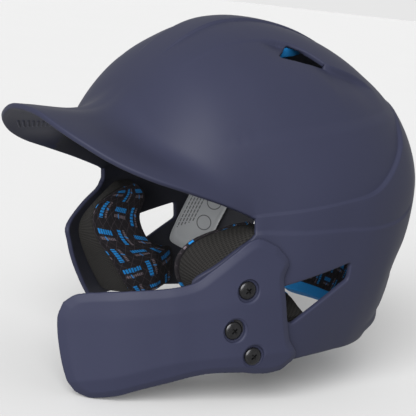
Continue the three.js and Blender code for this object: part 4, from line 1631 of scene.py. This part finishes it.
class HELMET_OT_crown_pads(bpy.types.Operator):
    """Make the crown pad and its foam"""

    bl_idname = "helmet.crown_pads"
    bl_label = "Crown pads"

    def execute(self, context):
        make_crown_pads(context.scene.helmet_sizes)
        return {"FINISHED"}


class HELMET_OT_label(bpy.types.Operator):
    """Stick the plain care label inside the right wall"""

    bl_idname = "helmet.label"
    bl_label = "Care label"

    def execute(self, context):
        make_label()
        return {"FINISHED"}


CAMERA_PLACE = Vector((0.70246, -0.55173, 0.10658))
CAMERA_RIGHT = Vector((0.58382, 0.80398, 0.11299))
CAMERA_UP = Vector((-0.19710, 0.00535, 0.98037))
CAMERA_BACK = Vector((0.78759, -0.59463, 0.16158))
CAMERA_LENS = 112.5
FLOOR_SIZE = 60.0


class HELMET_OT_stage(bpy.types.Operator):
    """Lay the pale floor, hang the soft lights and place the camera"""

    bl_idname = "helmet.stage"
    bl_label = "Stage"

    def execute(self, context):
        scene, settings = context.scene, context.scene.helmet_stage
        bm = bmesh.new()
        bmesh.ops.create_grid(bm, x_segments=2, y_segments=2, size=FLOOR_SIZE)
        bmesh.ops.translate(bm, vec=(0, 0, CAD_BOX[0].z - 0.0005), verts=bm.verts[:])
        mesh = bpy.data.meshes.new("floor")
        bm.to_mesh(mesh)
        bm.free()
        mesh.materials.append(floor_paint("floor_paint", settings.floor))
        floor = bpy.data.objects.new("floor", mesh)
        scene.collection.objects.link(floor)
        world = bpy.data.worlds.new("studio")
        world.use_nodes = True
        world.node_tree.nodes["Background"].inputs["Color"].default_value = (1, 1, 1, 1)
        world.node_tree.nodes["Background"].inputs["Strength"].default_value = settings.fill
        scene.world = world
        scene.view_settings.view_transform = "Standard"
        self.sun(scene, "key", settings.key, 50, (0.60, -0.70, 0.42))
        camera = bpy.data.objects.new("camera", bpy.data.cameras.new("camera"))
        camera.data.lens = CAMERA_LENS
        camera.data.sensor_width = 36
        turn = Matrix((CAMERA_RIGHT, CAMERA_UP, CAMERA_BACK)).transposed()
        camera.matrix_world = Matrix.Translation(CAMERA_PLACE) @ turn.to_4x4()
        scene.collection.objects.link(camera)
        scene.camera = camera
        return {"FINISHED"}

    @staticmethod
    def sun(scene, name, strength, width, towards):
        """A soft sun whose light comes from a direction."""
        light = bpy.data.lights.new(name, "SUN")
        light.energy = strength
        light.angle = math.radians(width)
        obj = bpy.data.objects.new(name, light)
        obj.rotation_mode = "QUATERNION"
        obj.rotation_quaternion = Vector(towards).to_track_quat("Z", "Y")
        scene.collection.objects.link(obj)


OPERATORS = (
    HELMET_OT_shell,
    HELMET_OT_guard,
    HELMET_OT_fasteners,
    HELMET_OT_ear_pads,
    HELMET_OT_linings,
    HELMET_OT_crown_pads,
    HELMET_OT_label,
    HELMET_OT_stage,
)


class HELMET_PT_panel(bpy.types.Panel):
    """Lists the helmet's settings and pieces"""

    bl_idname = "HELMET_PT_panel"
    bl_label = "Batting Helmet"
    bl_space_type = "VIEW_3D"
    bl_region_type = "UI"
    bl_category = "Helmet"

    def draw(self, context):
        scene = context.scene
        for settings in (scene.helmet_sizes, scene.helmet_colours, scene.helmet_stage):
            box = self.layout.box()
            for name in settings.__annotations__:
                box.prop(settings, name)
        for operator in OPERATORS:
            self.layout.operator(operator.bl_idname)


CLASSES = (HelmetColours, HelmetSizes, StageSettings, *OPERATORS, HELMET_PT_panel)


def register():
    for each in CLASSES:
        bpy.utils.register_class(each)
    bpy.types.Scene.helmet_colours = PointerProperty(type=HelmetColours)
    bpy.types.Scene.helmet_sizes = PointerProperty(type=HelmetSizes)
    bpy.types.Scene.helmet_stage = PointerProperty(type=StageSettings)


def unregister():
    for name in ("helmet_colours", "helmet_sizes", "helmet_stage"):
        delattr(bpy.types.Scene, name)
    for each in reversed(CLASSES):
        bpy.utils.unregister_class(each)


def main():
    register()
    for operator in OPERATORS:
        group, name = operator.bl_idname.split(".")
        getattr(getattr(bpy.ops, group), name)()


if __name__ == "__main__":
    main()
